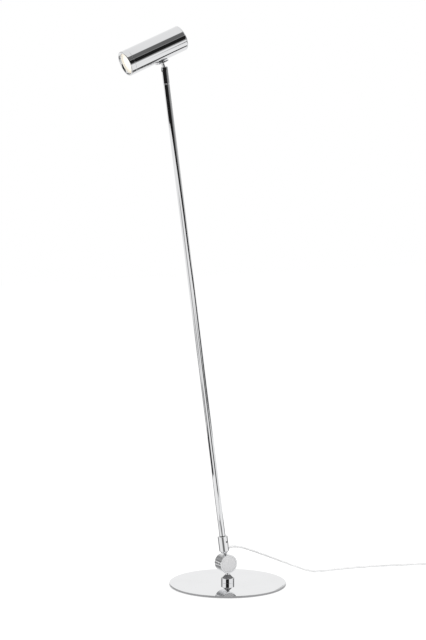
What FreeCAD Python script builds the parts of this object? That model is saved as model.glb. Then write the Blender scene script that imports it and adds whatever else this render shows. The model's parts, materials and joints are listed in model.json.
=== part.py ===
"""Telescopic floor lamp: a round weighted base, a side-by-side friction hinge, a leaning telescopic rod
and a cylindrical spot head on a swivel knuckle.  All sizes are in millimetres.

Frame: origin on the floor at the centre of the base, +Z up.  The rod leans towards -X and the hinge's
plain round face looks towards -Y.  Each separate piece of the lamp is one node.
"""
import FreeCAD, Part
import math
import os

from FreeCAD import Vector

# ------------------------------------------------------------------ driving dimensions
# running and fitting clearances, all radial or one-sided
running_gap = 0.04        # a journal in its bore
fit_gap = 0.05            # a screw, plug or cap in its own seat
seat_gap = 0.05           # between faces that turn past each other under a spring
hole_gap = 0.15           # a bolt, screw or stem through a plain hole or washer
cable_gap = 0.2           # a flex in its bore
body_gap = 0.3            # between pieces that move apart and don't guide each other
turned_edge = 0.4         # chamfer on small turned pieces
screw_sink = 0.3          # of set and grub screws below the surface
over = 1.0                # how far a cutting shape runs past what it cuts

# base
base_diameter = 250.0
base_thickness = 4.5
base_bevel = 0.8
pad_thickness = 1.0
pad_inset = 7.0
pad_access_radius = 9.5
hub_diameter = 28.4
hub_height = 10.0
hub_edge = 0.6
hub_cone_height = 7.0
hub_cone_base_diameter = 23.0
hub_cone_top_diameter = 10.0
neck_diameter = 8.0
base_screw_diameter = 8.0
base_screw_head_diameter = 15.8
base_screw_reach = 9.0    # of thread inside the hub
base_screw_key = 5.0
base_screw_key_depth = 2.7
hub_stud_diameter = 6.0

# friction hinge, its axis along Y
hinge_height = 40.2       # of the axis above the top of the base
drum_diameter = 40.0
front_face_y = -5.8
seam_y = 4.6
seam_gap = 0.2
fixed_half_web = 2.3
moving_half_thickness = 9.6
moving_half_web = 3.0
rear_cap_thickness = 8.8
rear_cap_wall = 2.2
rear_rim_width = 2.0      # of the lip that the rear cap sits in
rear_rim_depth = 1.2
drum_edge = 0.6
seam_edge = 0.8
front_cap_diameter = 34.0
front_cap_thickness = 1.5
front_cap_edge = 0.3
front_cap_set_back = 0.1
hinge_bolt_diameter = 8.0
hinge_bolt_head_flats = 13.0
hinge_bolt_head_height = 5.3
hinge_bolt_past_nut = 1.5
hinge_pocket_room = 1.1   # round the bolt head's and nut's corners
hinge_nut_height = 6.5
spring_washer_thickness = 2.0
spring_washer_diameter = 14.6
friction_washer_diameter = 22.0
friction_washer_thickness = 1.15
stop_pin_diameter = 3.0
stop_pin_circle = 14.5    # radius on which the stop pin stands
stop_pin_seat = 3.0       # held in the fixed half
stop_pin_reach = 2.0      # into the moving half's groove
stud_inner_radius = 11.8  # where the two necks' studs end inside the drum
rod_plane_y = 9.0
ferrule_stud_diameter = 5.0

# rod
rod_lean = 7.7            # degrees from upright, towards -X
rod_tilt_forward = 12.0   # degrees that the rod can lean further, towards -X
rod_tilt_back = 28.0      # degrees that it can be raised and passed over, towards +X
stop_margin = 1.0         # degrees between a limit and the stop itself
ferrule_diameter = 21.4
ferrule_neck_end = 20.8   # distances along the rod from the hinge axis
ferrule_cone_height = 7.2
ferrule_length = 32.3
ferrule_socket_depth = 18.3
ferrule_chamber_floor = 29.5
cord_exit_along = 32.5
set_screw_along = 48.1
set_screw_angle = -71.0   # degrees about the rod, 0 is +X
set_screw_diameter = 4.0
outer_tube_diameter = 13.0
tube_wall = 1.0
inner_tube_diameter = 9.5
inner_tube_length = 480.0
bush_flange = 1.4
bush_length = 14.0
guide_length = 12.0
rivet_diameter = 2.0

# knuckle at the top of the rod
tilt_pivot_along = 1064.0
knuckle_diameter = 13.8
knuckle_below_pivot = 30.0
knuckle_above_pivot = 5.0
knuckle_top_edge = 1.0
knuckle_slot = 7.3
knuckle_slot_depth = 5.0  # below the pivot
spigot_length = 14.0
journal_diameter = 8.0
journal_length = 11.3
spigot_flange = 1.2
tube_into_knuckle = 2.0
swivel_washer_thickness = 0.7
groove_depth = 0.8
groove_width = 2.5
groove_up = 4.3           # from the journal's foot
swivel_limit = 155.0      # degrees each way
grub_diameter = 3.0
grub_tip_diameter = 2.0
pivot_screw_diameter = 3.0
pivot_tip_diameter = 2.5

# spot head
head_pitch = 22.7         # degrees below level at rest
head_diameter = 53.0
head_length = 139.0
head_wall = 1.0
stem_from_front = 78.4
axis_above_pivot = 44.0
bezel_length = 11.5
bezel_opening = 43.6
bezel_lip = 6.0
bezel_edge = 1.8
bezel_spigot = 4.5
rear_cap_face = 3.0
rear_cap_edge = 2.4
rear_cap_spigot = 8.0
rear_cap_spigot_wall = 1.4
stem_diameter = 7.0
stem_thread_diameter = 6.0
stem_slot = 3.4
rosette_diameter = 29.0
rosette_thickness = 2.0
saddle_diameter = 12.0
saddle_height = 0.9
stem_past_nut = 1.2
stem_nut_height = 5.0
stem_nut_flats = 10.0
stem_washer_diameter = 12.0
stem_washer_thickness = 1.0

# lamp and its holder, places measured back from the head's front edge
gasket_thickness = 1.0
lamp_diameter = 49.0
lamp_rim = 3.0
lamp_body_length = 31.0
lamp_neck_diameter = 25.0
lamp_base_length = 15.0
lens_diameter = 44.0
lens_thickness = 2.0
pin_spacing = 10.0
lamp_pin_diameter = 3.0
lamp_pin_head_diameter = 5.0
lamp_pin_head_height = 3.0
lamp_pin_length = 7.0
lamp_pin_seat = 4.0       # held in the lamp's base
lamp_bowl_middle = (0.52, 0.72)  # share of the bowl's length and of its spread that its arc passes
lampholder_diameter = 27.0
lampholder_length = 13.5
lampholder_edge = 1.0
lampholder_gap = 0.4      # to the lamp's base, and round its pins
holder_screw_spacing = 17.0
holder_screw_diameter = 3.0
holder_screw_head_diameter = 5.5
holder_screw_head_height = 2.0
holder_screw_reach = 6.0  # into the lampholder
holder_screw_slot = 0.8
bracket_sheet = 1.2
bracket_foot_width = 10.0
bracket_plate_width = 20.0
bracket_plate_top = 13.0  # above the head's axis
terminal_from_rear = 13.0 # from its back to the head's back
terminal_size = (16.0, 17.0, 13.0)
terminal_groove = (1.6, 4.0)     # width and depth of the groove between its poles
wire_diameter = 2.0
wire_bend = 6.0
wire_loop_room = 6.5      # behind the terminal block
head_flex_bend = 4.0
head_flex_rise = 7.0      # above the stem
head_flex_level = 5.0     # straight length before the terminal block

# cord
flex_diameter = 3.0       # the two cores, inside the rod
cord_diameter = 4.2       # outside
relief_diameter = 5.6
relief_length = 18.0
relief_end_gap = 0.15     # between the relief's thin end and the cord
relief_droop = 15.7       # degrees that the relief bends over its length
coil_inner_radius = 17.0
coil_pitch = 4.85         # between turns in one layer and between layers
coil_turns_per_layer = 3.5
coil_lead_in = 46.0
coil_step_down = 14.0     # run in which the cord comes down from the upper layer
coil_step_aside = (0.9, 2.0)     # how far it has swung out by the start and the end of the run-out
coil_aim = (0.08, 0.05)   # slope of its direction at those two places
coil_run_out = 18.0
floor_gap = 0.05          # under the cord, the switch and the plug

# switch on the cord
switch_length = 58.0
switch_width = 24.0
switch_height = 17.0
switch_wall = 1.8
switch_split = 8.0        # height of the seam
switch_nose_wall = 2.4    # beside the cord, at each end
switch_taper = 13.0       # length of each tapered end
switch_corner = 1.6
switch_post_diameter = 6.0
switch_post_place = (13.5, 6.6)  # from the end and from the middle
switch_screw_diameter = 2.5
switch_screw_head_diameter = 4.8
switch_screw_head_top = 2.6
switch_screw_head_low = 0.9
switch_screw_top_gap = 4.4       # under the top of the switch
rocker_length = 17.0
rocker_width = 9.0
rocker_travel = 8.0       # degrees each way from level
rocker_pivot_height = 13.0
rocker_swing_gap = 1.0
rocker_side_gap = 0.4
rocker_horn = 1.9         # height of its ends above the switch
rocker_dish = 0.6         # depth of its middle below the switch's top, before the ends' rise
rocker_depth = 2.2        # below its pivot
rocker_end_slope = 1.5
rocker_axle_diameter = 2.0
rocker_ear = (6.0, 1.8)   # length and thickness of the ear that carries each end of the axle
rocker_ear_reach = 3.0    # of the ear below the pivot
contact_width = 6.0
contact_sheet = 0.8
contact_length = 8.0
contact_place = 7.5       # from the middle of the switch
contact_blade_place = 4.3
contact_blade_gap = 1.2   # between the blade's tip and the switch's seam

# plug
plug_width = 35.0
plug_height = 14.0
plug_length = 30.0
plug_neck_length = 16.0
plug_neck_wall = 0.05     # at the thin end, round the cord
plug_neck_spread = 2.1    # of the neck's radius where it meets the body
plug_edge = 0.55          # height of the side edge, as a share of the half height
plug_waist = 0.55         # where the full width starts, as a share of the length
plug_shoulder = (0.55, 0.80, 0.85)  # width, edge and height at the neck, as shares of the full ones
plug_pin_diameter = 4.0
plug_pin_length = 19.0
plug_pin_tip = 1.0
plug_pin_root = 8.0       # held inside the plug
plug_pin_root_diameter = 3.0
plug_pin_spacing = 18.6
plug_pin_tip_taper = 0.7

coil_centre_z = cord_diameter / 2 + floor_gap

# The cord's route from the strain relief to the switch: hand-chosen points, x, y, z.
lead_points = [
    (34.0, 9.2, 77.9),
    (50.0, 9.6, 71.3),
    (75.0, 10.2, 61.5),
    (110.0, 11.0, 47.2),
    (155.0, 12.0, 27.9),
    (200.0, 13.0, 8.4),
    (226.0, 13.6, coil_centre_z),
    (260.0, 13.2, coil_centre_z),
    (306.0, 10.4, coil_centre_z),
    (352.0, 4.2, coil_centre_z),
    (398.0, -6.0, coil_centre_z),
    (440.0, -18.6, coil_centre_z),
    (475.0, -30.2, coil_centre_z),
]
switch_start = (508.0, -41.0)
switch_heading = -18.0    # degrees about Z of the cord's way through the switch

# ------------------------------------------------------------------ derived places
floor_z = 0.0
plate_bottom = floor_z + pad_thickness
plate_top = plate_bottom + base_thickness
hinge_z = plate_top + hinge_height
drum_radius = drum_diameter / 2
moving_half_y = seam_y + seam_gap
rear_seam_y = moving_half_y + moving_half_thickness
rear_face_y = rear_seam_y + rear_cap_thickness
outer_tube_radius = outer_tube_diameter / 2
outer_bore = outer_tube_radius - tube_wall
inner_tube_radius = inner_tube_diameter / 2
inner_bore = inner_tube_radius - tube_wall
flex_radius = flex_diameter / 2
cable_bore = flex_radius + cable_gap
neck_radius = neck_diameter / 2
ferrule_radius = ferrule_diameter / 2
ferrule_foot = ferrule_neck_end + ferrule_cone_height
ferrule_top = ferrule_foot + ferrule_length
tube_seat = ferrule_top - ferrule_socket_depth
knuckle_foot = tilt_pivot_along - knuckle_below_pivot
knuckle_top = tilt_pivot_along + knuckle_above_pivot
knuckle_radius = knuckle_diameter / 2
bush_top = knuckle_foot - body_gap
outer_tube_top = bush_top - bush_flange
inner_tube_top = knuckle_foot + tube_into_knuckle
inner_tube_foot = inner_tube_top - inner_tube_length
bush_foot = outer_tube_top - bush_length
guide_foot = inner_tube_foot
guide_top = guide_foot + guide_length
telescope_travel = bush_foot - body_gap - guide_top
journal_foot = inner_tube_top + spigot_flange
journal_top = journal_foot + journal_length
journal_radius = journal_diameter / 2
groove_foot = journal_foot + groove_up
slot_floor = tilt_pivot_along - knuckle_slot_depth
head_radius = head_diameter / 2
head_bore = head_radius - head_wall
tube_under_pivot = axis_above_pivot - head_radius

nodes = {}


# ------------------------------------------------------------------ shape helpers
def cylinder(radius, low, high):
    """Solid cylinder about Z from height low to height high."""
    return Part.makeCylinder(radius, high - low, Vector(0, 0, low))


def cone(low_radius, high_radius, low, high):
    """Solid cone frustum about Z."""
    return Part.makeCone(low_radius, high_radius, high - low, Vector(0, 0, low))


def ring(outer, inner, low, high):
    """Plain ring about Z."""
    return cylinder(outer, low, high).cut(cylinder(inner, low - over, high + over))


def turned(outline):
    """Solid of revolution about Z of a closed outline of (radius, height) points."""
    points = [Vector(radius, 0, height) for radius, height in outline]
    wire = Part.makePolygon(points + points[:1])
    return Part.Face(wire).revolve(Vector(0, 0, 0), Vector(0, 0, 1), 360)


def block(low, high):
    """Box between two corners."""
    return Part.makeBox(high[0] - low[0], high[1] - low[1], high[2] - low[2], Vector(*low))


def hexagon(flats, low, high):
    """Hexagonal prism about Z, given across its flats."""
    reach = flats / 2 / math.cos(math.radians(30))
    angles = [math.radians(60 * k) for k in range(6)]
    corners = [Vector(reach * math.cos(angle), reach * math.sin(angle), low) for angle in angles]
    return Part.Face(Part.makePolygon(corners + corners[:1])).extrude(Vector(0, 0, high - low))


def radial(shape, angle, along):
    """Lays a shape built along Z out along the radius at an angle, at a height along Z."""
    laid = shape.copy()
    laid.rotate(Vector(0, 0, 0), Vector(0, 1, 0), 90)
    laid.rotate(Vector(0, 0, 0), Vector(0, 0, 1), angle)
    laid.translate(Vector(0, 0, along))
    return laid


def in_drum(shape):
    """From a frame whose Z is the hinge axis, measured from the lamp's own plane, to the lamp."""
    placed = shape.copy()
    placed.rotate(Vector(0, 0, 0), Vector(1, 0, 0), -90)
    placed.translate(Vector(0, 0, hinge_z))
    return placed


def in_rod(shape):
    """From a frame whose Z runs up the rod from the hinge axis, to the lamp."""
    placed = shape.copy()
    placed.rotate(Vector(0, 0, 0), Vector(0, 1, 0), -rod_lean)
    placed.translate(Vector(0, rod_plane_y, hinge_z))
    return placed


def rod_point(along, out=0.0):
    """Point on the rod's axis, or out from it on the +X side, in the lamp's frame."""
    lean = math.radians(rod_lean)
    return Vector(out * math.cos(lean) - along * math.sin(lean), rod_plane_y,
                  hinge_z + out * math.sin(lean) + along * math.cos(lean))


def in_head(shape):
    """From a frame with its origin at the tilt pivot, Z up the stem and the head's front to -X."""
    placed = shape.copy()
    placed.rotate(Vector(0, 0, 0), Vector(0, 1, 0), -head_pitch)
    placed.translate(rod_point(tilt_pivot_along))
    return placed


def head_part(shape):
    """From a frame whose Z runs back along the head's axis from its front edge, to the lamp."""
    placed = shape.copy()
    placed.rotate(Vector(0, 0, 0), Vector(0, 1, 0), 90)
    placed.translate(Vector(-stem_from_front, 0, axis_above_pivot))
    return in_head(placed)


def socket_screw(diameter, length, flats):
    """Grub screw about Z from 0 to its length, with its hexagon socket in the far end."""
    return cylinder(diameter / 2, 0, length).cut(hexagon(flats, length - diameter / 2, length + over))


# ------------------------------------------------------------------ path helpers
def rounded_path(points):
    """Straight runs with a tangent arc at each inner point.  Returns the wire and the arcs' radii."""
    points = [Vector(*p) for p in points]
    edges = []
    radii = []
    start = points[0]
    for before, corner, after in zip(points, points[1:], points[2:]):
        way_in = (corner - before).normalize()
        way_out = (after - corner).normalize()
        turn = way_in.getAngle(way_out)
        back = 0.45 * min((corner - before).Length, (after - corner).Length)
        radius = back / math.tan(turn / 2)
        arc_start = corner - way_in * back
        arc_end = corner + way_out * back
        bisector = (way_out - way_in).normalize()
        middle = corner + bisector * (radius / math.cos(turn / 2) - radius)
        edges.append(Part.LineSegment(start, arc_start).toShape())
        edges.append(Part.Arc(arc_start, middle, arc_end).toShape())
        radii.append(radius)
        start = arc_end
    edges.append(Part.LineSegment(start, points[-1]).toShape())
    return Part.Wire(edges), radii


def bend_path(points, radius):
    """Straight runs with arcs of one radius at the inner points, for wires that are held."""
    points = [Vector(*p) for p in points]
    edges = []
    start = points[0]
    for before, corner, after in zip(points, points[1:], points[2:]):
        way_in = (corner - before).normalize()
        way_out = (after - corner).normalize()
        turn = way_in.getAngle(way_out)
        back = radius * math.tan(turn / 2)
        bisector = (way_out - way_in).normalize()
        middle = corner + bisector * (radius / math.cos(turn / 2) - radius)
        if (corner - way_in * back - start).Length > 1e-4:
            edges.append(Part.LineSegment(start, corner - way_in * back).toShape())
        edges.append(Part.Arc(corner - way_in * back, middle, corner + way_out * back).toShape())
        start = corner + way_out * back
    edges.append(Part.LineSegment(start, points[-1]).toShape())
    return Part.Wire(edges)


def tangent_arc(start, tangent, end):
    """Arc that leaves start along the tangent and ends at end, of less than a half turn."""
    chord = end - start
    side = chord - tangent * chord.dot(tangent)
    if side.Length < 1e-7:
        return Part.LineSegment(start, end).toShape()
    side.normalize()
    radius = chord.Length ** 2 / (2 * chord.dot(side))
    centre = start + side * radius
    middle = centre + (start + chord * 0.5 - centre).normalize() * radius
    return Part.Arc(start, middle, end).toShape()


def biarc(start, start_way, end, end_way):
    """Two tangent arcs that join two points with given directions."""
    span = end - start
    both = start_way + end_way
    spread = 2 * (1 - start_way.dot(end_way))
    if spread < 1e-9:
        return [Part.LineSegment(start, end).toShape()]
    reach = (-span.dot(both) + math.sqrt(span.dot(both) ** 2 + spread * span.dot(span))) / spread
    first_corner = start + start_way * reach
    second_corner = end - end_way * reach
    joint = (first_corner + second_corner) * 0.5
    back = tangent_arc(end, end_way * -1, joint)
    return [tangent_arc(start, start_way, joint), back]


def swept(wire, radius, direction):
    """Round tube of a radius along a wire that starts at its first vertex in a direction."""
    first = wire.OrderedVertexes[0].Point
    profile = Part.Wire([Part.Circle(first, direction, radius).toShape()])
    return wire.makePipeShell([profile], True, False)


def held_wire(points, radius, bend):
    """Wire or flex held inside the lamp, along a path of straight runs and arcs of one radius."""
    start = Vector(*points[0])
    return swept(bend_path(points, bend), radius, Vector(*points[1]) - start)


# ------------------------------------------------------------------ base
def make_base():
    radius = base_diameter / 2
    screw_radius = base_screw_diameter / 2
    sink_depth = (base_screw_head_diameter - base_screw_diameter) / 2
    sink_radius = base_screw_head_diameter / 2 + fit_gap

    plate = turned([(0, plate_bottom), (radius - base_bevel / 2, plate_bottom),
                    (radius, plate_bottom + base_bevel / 2), (radius, plate_top - base_bevel),
                    (radius - base_bevel, plate_top), (0, plate_top)])
    plate = plate.cut(cylinder(screw_radius + hole_gap, plate_bottom - over, plate_top + over))
    plate = plate.cut(cone(sink_radius, sink_radius - sink_depth, plate_bottom, plate_bottom + sink_depth))
    nodes["base_plate"] = plate

    nodes["base_pad"] = ring(radius - pad_inset, pad_access_radius, floor_z, plate_bottom)

    head_low = plate_bottom + fit_gap
    head = cone(sink_radius - 2 * fit_gap, sink_radius - 2 * fit_gap - sink_depth, head_low,
                head_low + sink_depth)
    shank = cylinder(screw_radius - fit_gap, head_low, plate_top + base_screw_reach)
    socket = hexagon(base_screw_key, plate_bottom - over, head_low + base_screw_key_depth)
    nodes["base_screw"] = head.fuse(shank).cut(socket).removeSplitter()

    hub_radius = hub_diameter / 2
    shoulder = plate_top + hub_height
    cone_top = shoulder + hub_cone_height
    neck_top = hinge_z - drum_radius + neck_radius
    hub = turned([(0, plate_top), (hub_radius - hub_edge / 2, plate_top),
                  (hub_radius, plate_top + hub_edge / 2), (hub_radius, shoulder - hub_edge),
                  (hub_radius - hub_edge, shoulder), (hub_cone_base_diameter / 2, shoulder),
                  (hub_cone_top_diameter / 2, cone_top), (neck_radius, cone_top),
                  (neck_radius, neck_top), (0, neck_top)])
    hub = hub.cut(cylinder(screw_radius, plate_top - over, plate_top + base_screw_reach + over))
    hub = hub.cut(in_drum(cylinder(drum_radius + fit_gap / 2, -drum_diameter, drum_diameter)))
    stud = cylinder(hub_stud_diameter / 2, cone_top, hinge_z - stud_inner_radius)
    nodes["base_hub"] = hub.fuse(stud).removeSplitter()


# ------------------------------------------------------------------ hinge
def make_hinge():
    bolt_radius = hinge_bolt_diameter / 2
    head_corner = hinge_bolt_head_flats / 2 / math.cos(math.radians(30))
    pocket = head_corner + hinge_pocket_room
    cap_radius = front_cap_diameter / 2
    washer_radius = friction_washer_diameter / 2
    cap_seat = front_face_y + front_cap_thickness
    washer_seat = seam_y + seam_gap / 2 - friction_washer_thickness
    head_seat = washer_seat - fixed_half_web

    fixed = turned([(bolt_radius + fit_gap, head_seat), (pocket, head_seat), (pocket, cap_seat),
                    (cap_radius + fit_gap, cap_seat), (cap_radius + fit_gap, front_face_y),
                    (drum_radius - drum_edge, front_face_y), (drum_radius, front_face_y + drum_edge),
                    (drum_radius, seam_y - seam_edge), (drum_radius - seam_edge, seam_y),
                    (washer_radius + fit_gap, seam_y), (washer_radius + fit_gap, washer_seat),
                    (bolt_radius + fit_gap, washer_seat)])
    pin_radius = stop_pin_diameter / 2
    pin_foot = seam_y - stop_pin_seat
    pin_tip = moving_half_y + stop_pin_reach
    pin = cylinder(pin_radius, pin_foot, pin_tip)
    pin.translate(Vector(stop_pin_circle, 0, 0))
    pin_hole = cylinder(pin_radius + fit_gap / 2, pin_foot - fit_gap, seam_y + over)
    pin_hole.translate(Vector(stop_pin_circle, 0, 0))
    fixed = in_drum(fixed.cut(pin_hole))
    stud_bore = cylinder(hub_stud_diameter / 2 + fit_gap, hinge_z - drum_diameter,
                         hinge_z - stud_inner_radius + fit_gap)
    nodes["hinge_fixed_half"] = fixed.cut(stud_bore)
    nodes["hinge_stop_pin"] = in_drum(pin)

    face_y = front_face_y + front_cap_set_back
    face = turned([(0, face_y), (cap_radius - front_cap_edge, face_y), (cap_radius, face_y + front_cap_edge),
                   (cap_radius, cap_seat), (0, cap_seat)])
    nodes["hinge_front_cap"] = in_drum(face)

    web_back = moving_half_y + moving_half_web
    washer_low = web_back + seat_gap
    nut_low = washer_low + spring_washer_thickness + fit_gap
    nut_high = nut_low + hinge_nut_height
    head_low = head_seat - fit_gap - hinge_bolt_head_height
    bolt = hexagon(hinge_bolt_head_flats, head_low, head_seat - fit_gap)
    bolt = bolt.fuse(cylinder(bolt_radius, head_seat - fit_gap, nut_high + hinge_bolt_past_nut))
    nodes["hinge_bolt"] = in_drum(bolt)
    nut = hexagon(hinge_bolt_head_flats, nut_low, nut_high)
    nodes["hinge_nut"] = in_drum(nut.cut(cylinder(bolt_radius + fit_gap, nut_low - over, nut_high + over)))
    nodes["hinge_spring_washer"] = in_drum(ring(spring_washer_diameter / 2, bolt_radius + hole_gap,
                                                washer_low, washer_low + spring_washer_thickness))
    nodes["hinge_friction_washer"] = in_drum(ring(washer_radius, bolt_radius + hole_gap,
                                                  washer_seat + fit_gap, moving_half_y - seat_gap))

    rim_radius = drum_radius - rear_rim_width
    rim_y = rear_seam_y - rear_rim_depth
    moving = turned([(bolt_radius + running_gap, moving_half_y), (drum_radius - seam_edge, moving_half_y),
                     (drum_radius, moving_half_y + seam_edge), (drum_radius, rear_seam_y),
                     (rim_radius, rear_seam_y), (rim_radius, rim_y), (pocket, rim_y),
                     (pocket, web_back), (bolt_radius + running_gap, web_back)])
    groove_half = pin_radius + body_gap
    groove_end_y = pin_tip + body_gap
    groove_start_y = moving_half_y - over
    low_angle = -(rod_tilt_back + stop_margin)
    high_angle = rod_tilt_forward + stop_margin
    track = ring(stop_pin_circle + groove_half, stop_pin_circle - groove_half, moving_half_y, groove_end_y)
    wedge = Part.makeCylinder(drum_radius, groove_end_y - groove_start_y, Vector(0, 0, groove_start_y),
                              Vector(0, 0, 1), high_angle - low_angle)
    wedge.rotate(Vector(0, 0, 0), Vector(0, 0, 1), low_angle)
    groove = track.common(wedge)
    for angle in (low_angle, high_angle):
        end = cylinder(groove_half, groove_start_y, groove_end_y)
        end.translate(Vector(stop_pin_circle, 0, 0))
        end.rotate(Vector(0, 0, 0), Vector(0, 0, 1), angle)
        groove = groove.fuse(end)
    moving = in_drum(moving.cut(groove))
    stud_bore = in_rod(cylinder(ferrule_stud_diameter / 2 + fit_gap, stud_inner_radius - fit_gap,
                                drum_diameter))
    nodes["hinge_moving_half"] = moving.cut(stud_bore)

    hollow = rear_face_y - rear_cap_wall
    skirt_radius = rim_radius - fit_gap
    skirt_y = rim_y + fit_gap
    skirt_bore = skirt_radius - rear_cap_wall
    cap = turned([(0, hollow), (skirt_bore, hollow), (skirt_bore, skirt_y), (skirt_radius, skirt_y),
                  (skirt_radius, rear_seam_y), (drum_radius, rear_seam_y),
                  (drum_radius, rear_face_y - drum_edge), (drum_radius - drum_edge, rear_face_y),
                  (0, rear_face_y)])
    nodes["hinge_rear_cap"] = in_drum(cap)


# ------------------------------------------------------------------ ferrule and telescopic rod
def make_ferrule():
    neck_start = ferrule_neck_end - neck_radius
    body = turned([(0, neck_start), (neck_radius, neck_start), (neck_radius, ferrule_neck_end),
                   (ferrule_radius, ferrule_foot), (ferrule_radius, ferrule_top - turned_edge),
                   (ferrule_radius - turned_edge, ferrule_top), (0, ferrule_top)])
    body = body.cut(cylinder(outer_tube_radius + fit_gap, tube_seat, ferrule_top + over))
    body = body.cut(cylinder(outer_bore, ferrule_chamber_floor, tube_seat + over))
    body = body.cut(radial(cylinder(relief_diameter / 2, 0, ferrule_diameter), 0, cord_exit_along))
    screw_hole = cylinder((set_screw_diameter + fit_gap) / 2, 0, ferrule_diameter)
    body = body.cut(radial(screw_hole, set_screw_angle, set_screw_along))
    body = in_rod(body).cut(in_drum(cylinder(drum_radius + fit_gap / 2, -drum_diameter, drum_diameter)))
    stud = in_rod(cylinder(ferrule_stud_diameter / 2, stud_inner_radius, ferrule_neck_end))
    nodes["ferrule"] = body.fuse(stud).removeSplitter()

    screw_start = outer_tube_radius + fit_gap
    screw_length = ferrule_radius - screw_sink - screw_start
    screw = socket_screw(set_screw_diameter, screw_length, set_screw_diameter / 2)
    screw.translate(Vector(0, 0, screw_start))
    nodes["ferrule_set_screw"] = in_rod(radial(screw, set_screw_angle, set_screw_along))


def make_rod():
    nodes["outer_tube"] = in_rod(ring(outer_tube_radius, outer_bore, tube_seat, outer_tube_top))

    slide = inner_tube_radius + running_gap
    bush_radius = outer_bore - fit_gap
    bush = turned([(slide, bush_foot), (bush_radius, bush_foot), (bush_radius, outer_tube_top),
                   (outer_tube_radius, outer_tube_top), (outer_tube_radius, bush_top - turned_edge),
                   (outer_tube_radius - turned_edge, bush_top), (slide, bush_top)])
    nodes["tube_bush"] = in_rod(bush)

    rivet_radius = rivet_diameter / 2
    rivet_along = (guide_foot + guide_top) / 2
    tube = ring(inner_tube_radius, inner_bore, inner_tube_foot, inner_tube_top)
    guide = ring(outer_bore - running_gap, inner_tube_radius + fit_gap / 2, guide_foot, guide_top)
    rivets = []
    for angle in (90, 270):
        hole = radial(cylinder(rivet_radius + fit_gap / 2, 0, outer_tube_radius), angle, rivet_along)
        tube = tube.cut(hole)
        guide = guide.cut(hole)
        rivets.append(radial(cylinder(rivet_radius, inner_bore, outer_bore - hole_gap), angle, rivet_along))
    nodes["inner_tube"] = in_rod(tube)
    nodes["tube_guide"] = in_rod(guide)
    nodes["guide_rivets"] = in_rod(Part.makeCompound(rivets))

    bend = outer_bore - fit_gap - body_gap
    nodes["rod_flex"] = in_rod(held_wire([(outer_bore - fit_gap, 0, cord_exit_along), (0, 0, cord_exit_along),
                                          (0, 0, inner_tube_foot - hole_gap)], flex_radius, bend))
    nodes["mast_flex"] = in_rod(cylinder(flex_radius, inner_tube_foot, journal_top))


def make_knuckle():
    plug_radius = inner_bore - fit_gap
    spigot_foot = inner_tube_top - spigot_length
    spigot = turned([(cable_bore, spigot_foot), (plug_radius, spigot_foot),
                     (plug_radius, inner_tube_top), (inner_tube_radius, inner_tube_top),
                     (inner_tube_radius, journal_foot), (journal_radius, journal_foot),
                     (journal_radius, journal_top), (cable_bore, journal_top)])
    groove_radius = journal_radius - groove_depth
    groove = ring(journal_diameter, groove_radius, groove_foot, groove_foot + groove_width)
    tip_half_angle = math.degrees(math.asin(grub_tip_diameter / 2 / (groove_radius + groove_depth / 2)))
    land_half_angle = 180 - swivel_limit - tip_half_angle - stop_margin
    land = Part.makeCylinder(journal_diameter + over, groove_width + 2 * over,
                             Vector(0, 0, groove_foot - over), Vector(0, 0, 1), 2 * land_half_angle)
    land.rotate(Vector(0, 0, 0), Vector(0, 0, 1), 180 - land_half_angle)
    nodes["swivel_spigot"] = in_rod(spigot.cut(groove.cut(land)))

    washer_low = journal_foot + seat_gap
    washer_high = washer_low + swivel_washer_thickness
    washer = ring(inner_tube_radius, journal_radius + hole_gap, washer_low, washer_high)
    nodes["swivel_washer"] = in_rod(washer)

    body = turned([(0, knuckle_foot), (knuckle_radius - turned_edge, knuckle_foot),
                   (knuckle_radius, knuckle_foot + turned_edge),
                   (knuckle_radius, knuckle_top - knuckle_top_edge),
                   (knuckle_radius - knuckle_top_edge, knuckle_top), (0, knuckle_top)])
    body = body.cut(cylinder(inner_tube_radius + body_gap, knuckle_foot - over, washer_high + fit_gap))
    body = body.cut(cylinder(journal_radius + running_gap, washer_high, journal_top + body_gap))
    body = body.cut(cylinder(cable_bore + body_gap, journal_top, slot_floor + over))
    slot_half = knuckle_slot / 2
    body = body.cut(block((-knuckle_diameter, -slot_half, slot_floor),
                          (knuckle_diameter, slot_half, knuckle_top + over)))
    grub_along = groove_foot + groove_width / 2
    body = body.cut(radial(cylinder((grub_diameter + fit_gap) / 2, 0, knuckle_diameter), 0, grub_along))

    screw_start = slot_half + fit_gap
    screw_length = knuckle_radius - screw_sink - screw_start
    screws = []
    for side in (-1, 1):
        hole = cylinder((pivot_screw_diameter + fit_gap) / 2, 0, knuckle_diameter)
        body = body.cut(radial(hole, 90 * side, tilt_pivot_along))
        screw = socket_screw(pivot_screw_diameter, screw_length, pivot_screw_diameter / 2)
        screw.translate(Vector(0, 0, screw_start))
        tip = cylinder(pivot_tip_diameter / 2, stem_slot / 2 + body_gap, screw_start + fit_gap)
        screws.append(radial(screw.fuse(tip), 90 * side, tilt_pivot_along))
    nodes["knuckle_body"] = in_rod(body)
    nodes["pivot_screws"] = in_rod(Part.makeCompound(screws))

    grub_start = journal_radius + 2 * running_gap
    grub = socket_screw(grub_diameter, knuckle_radius - screw_sink - grub_start, grub_diameter / 2)
    grub.translate(Vector(0, 0, grub_start))
    grub = grub.fuse(cylinder(grub_tip_diameter / 2, groove_radius + hole_gap, grub_start + fit_gap))
    nodes["knuckle_grub_screw"] = in_rod(radial(grub, 0, grub_along))


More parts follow.
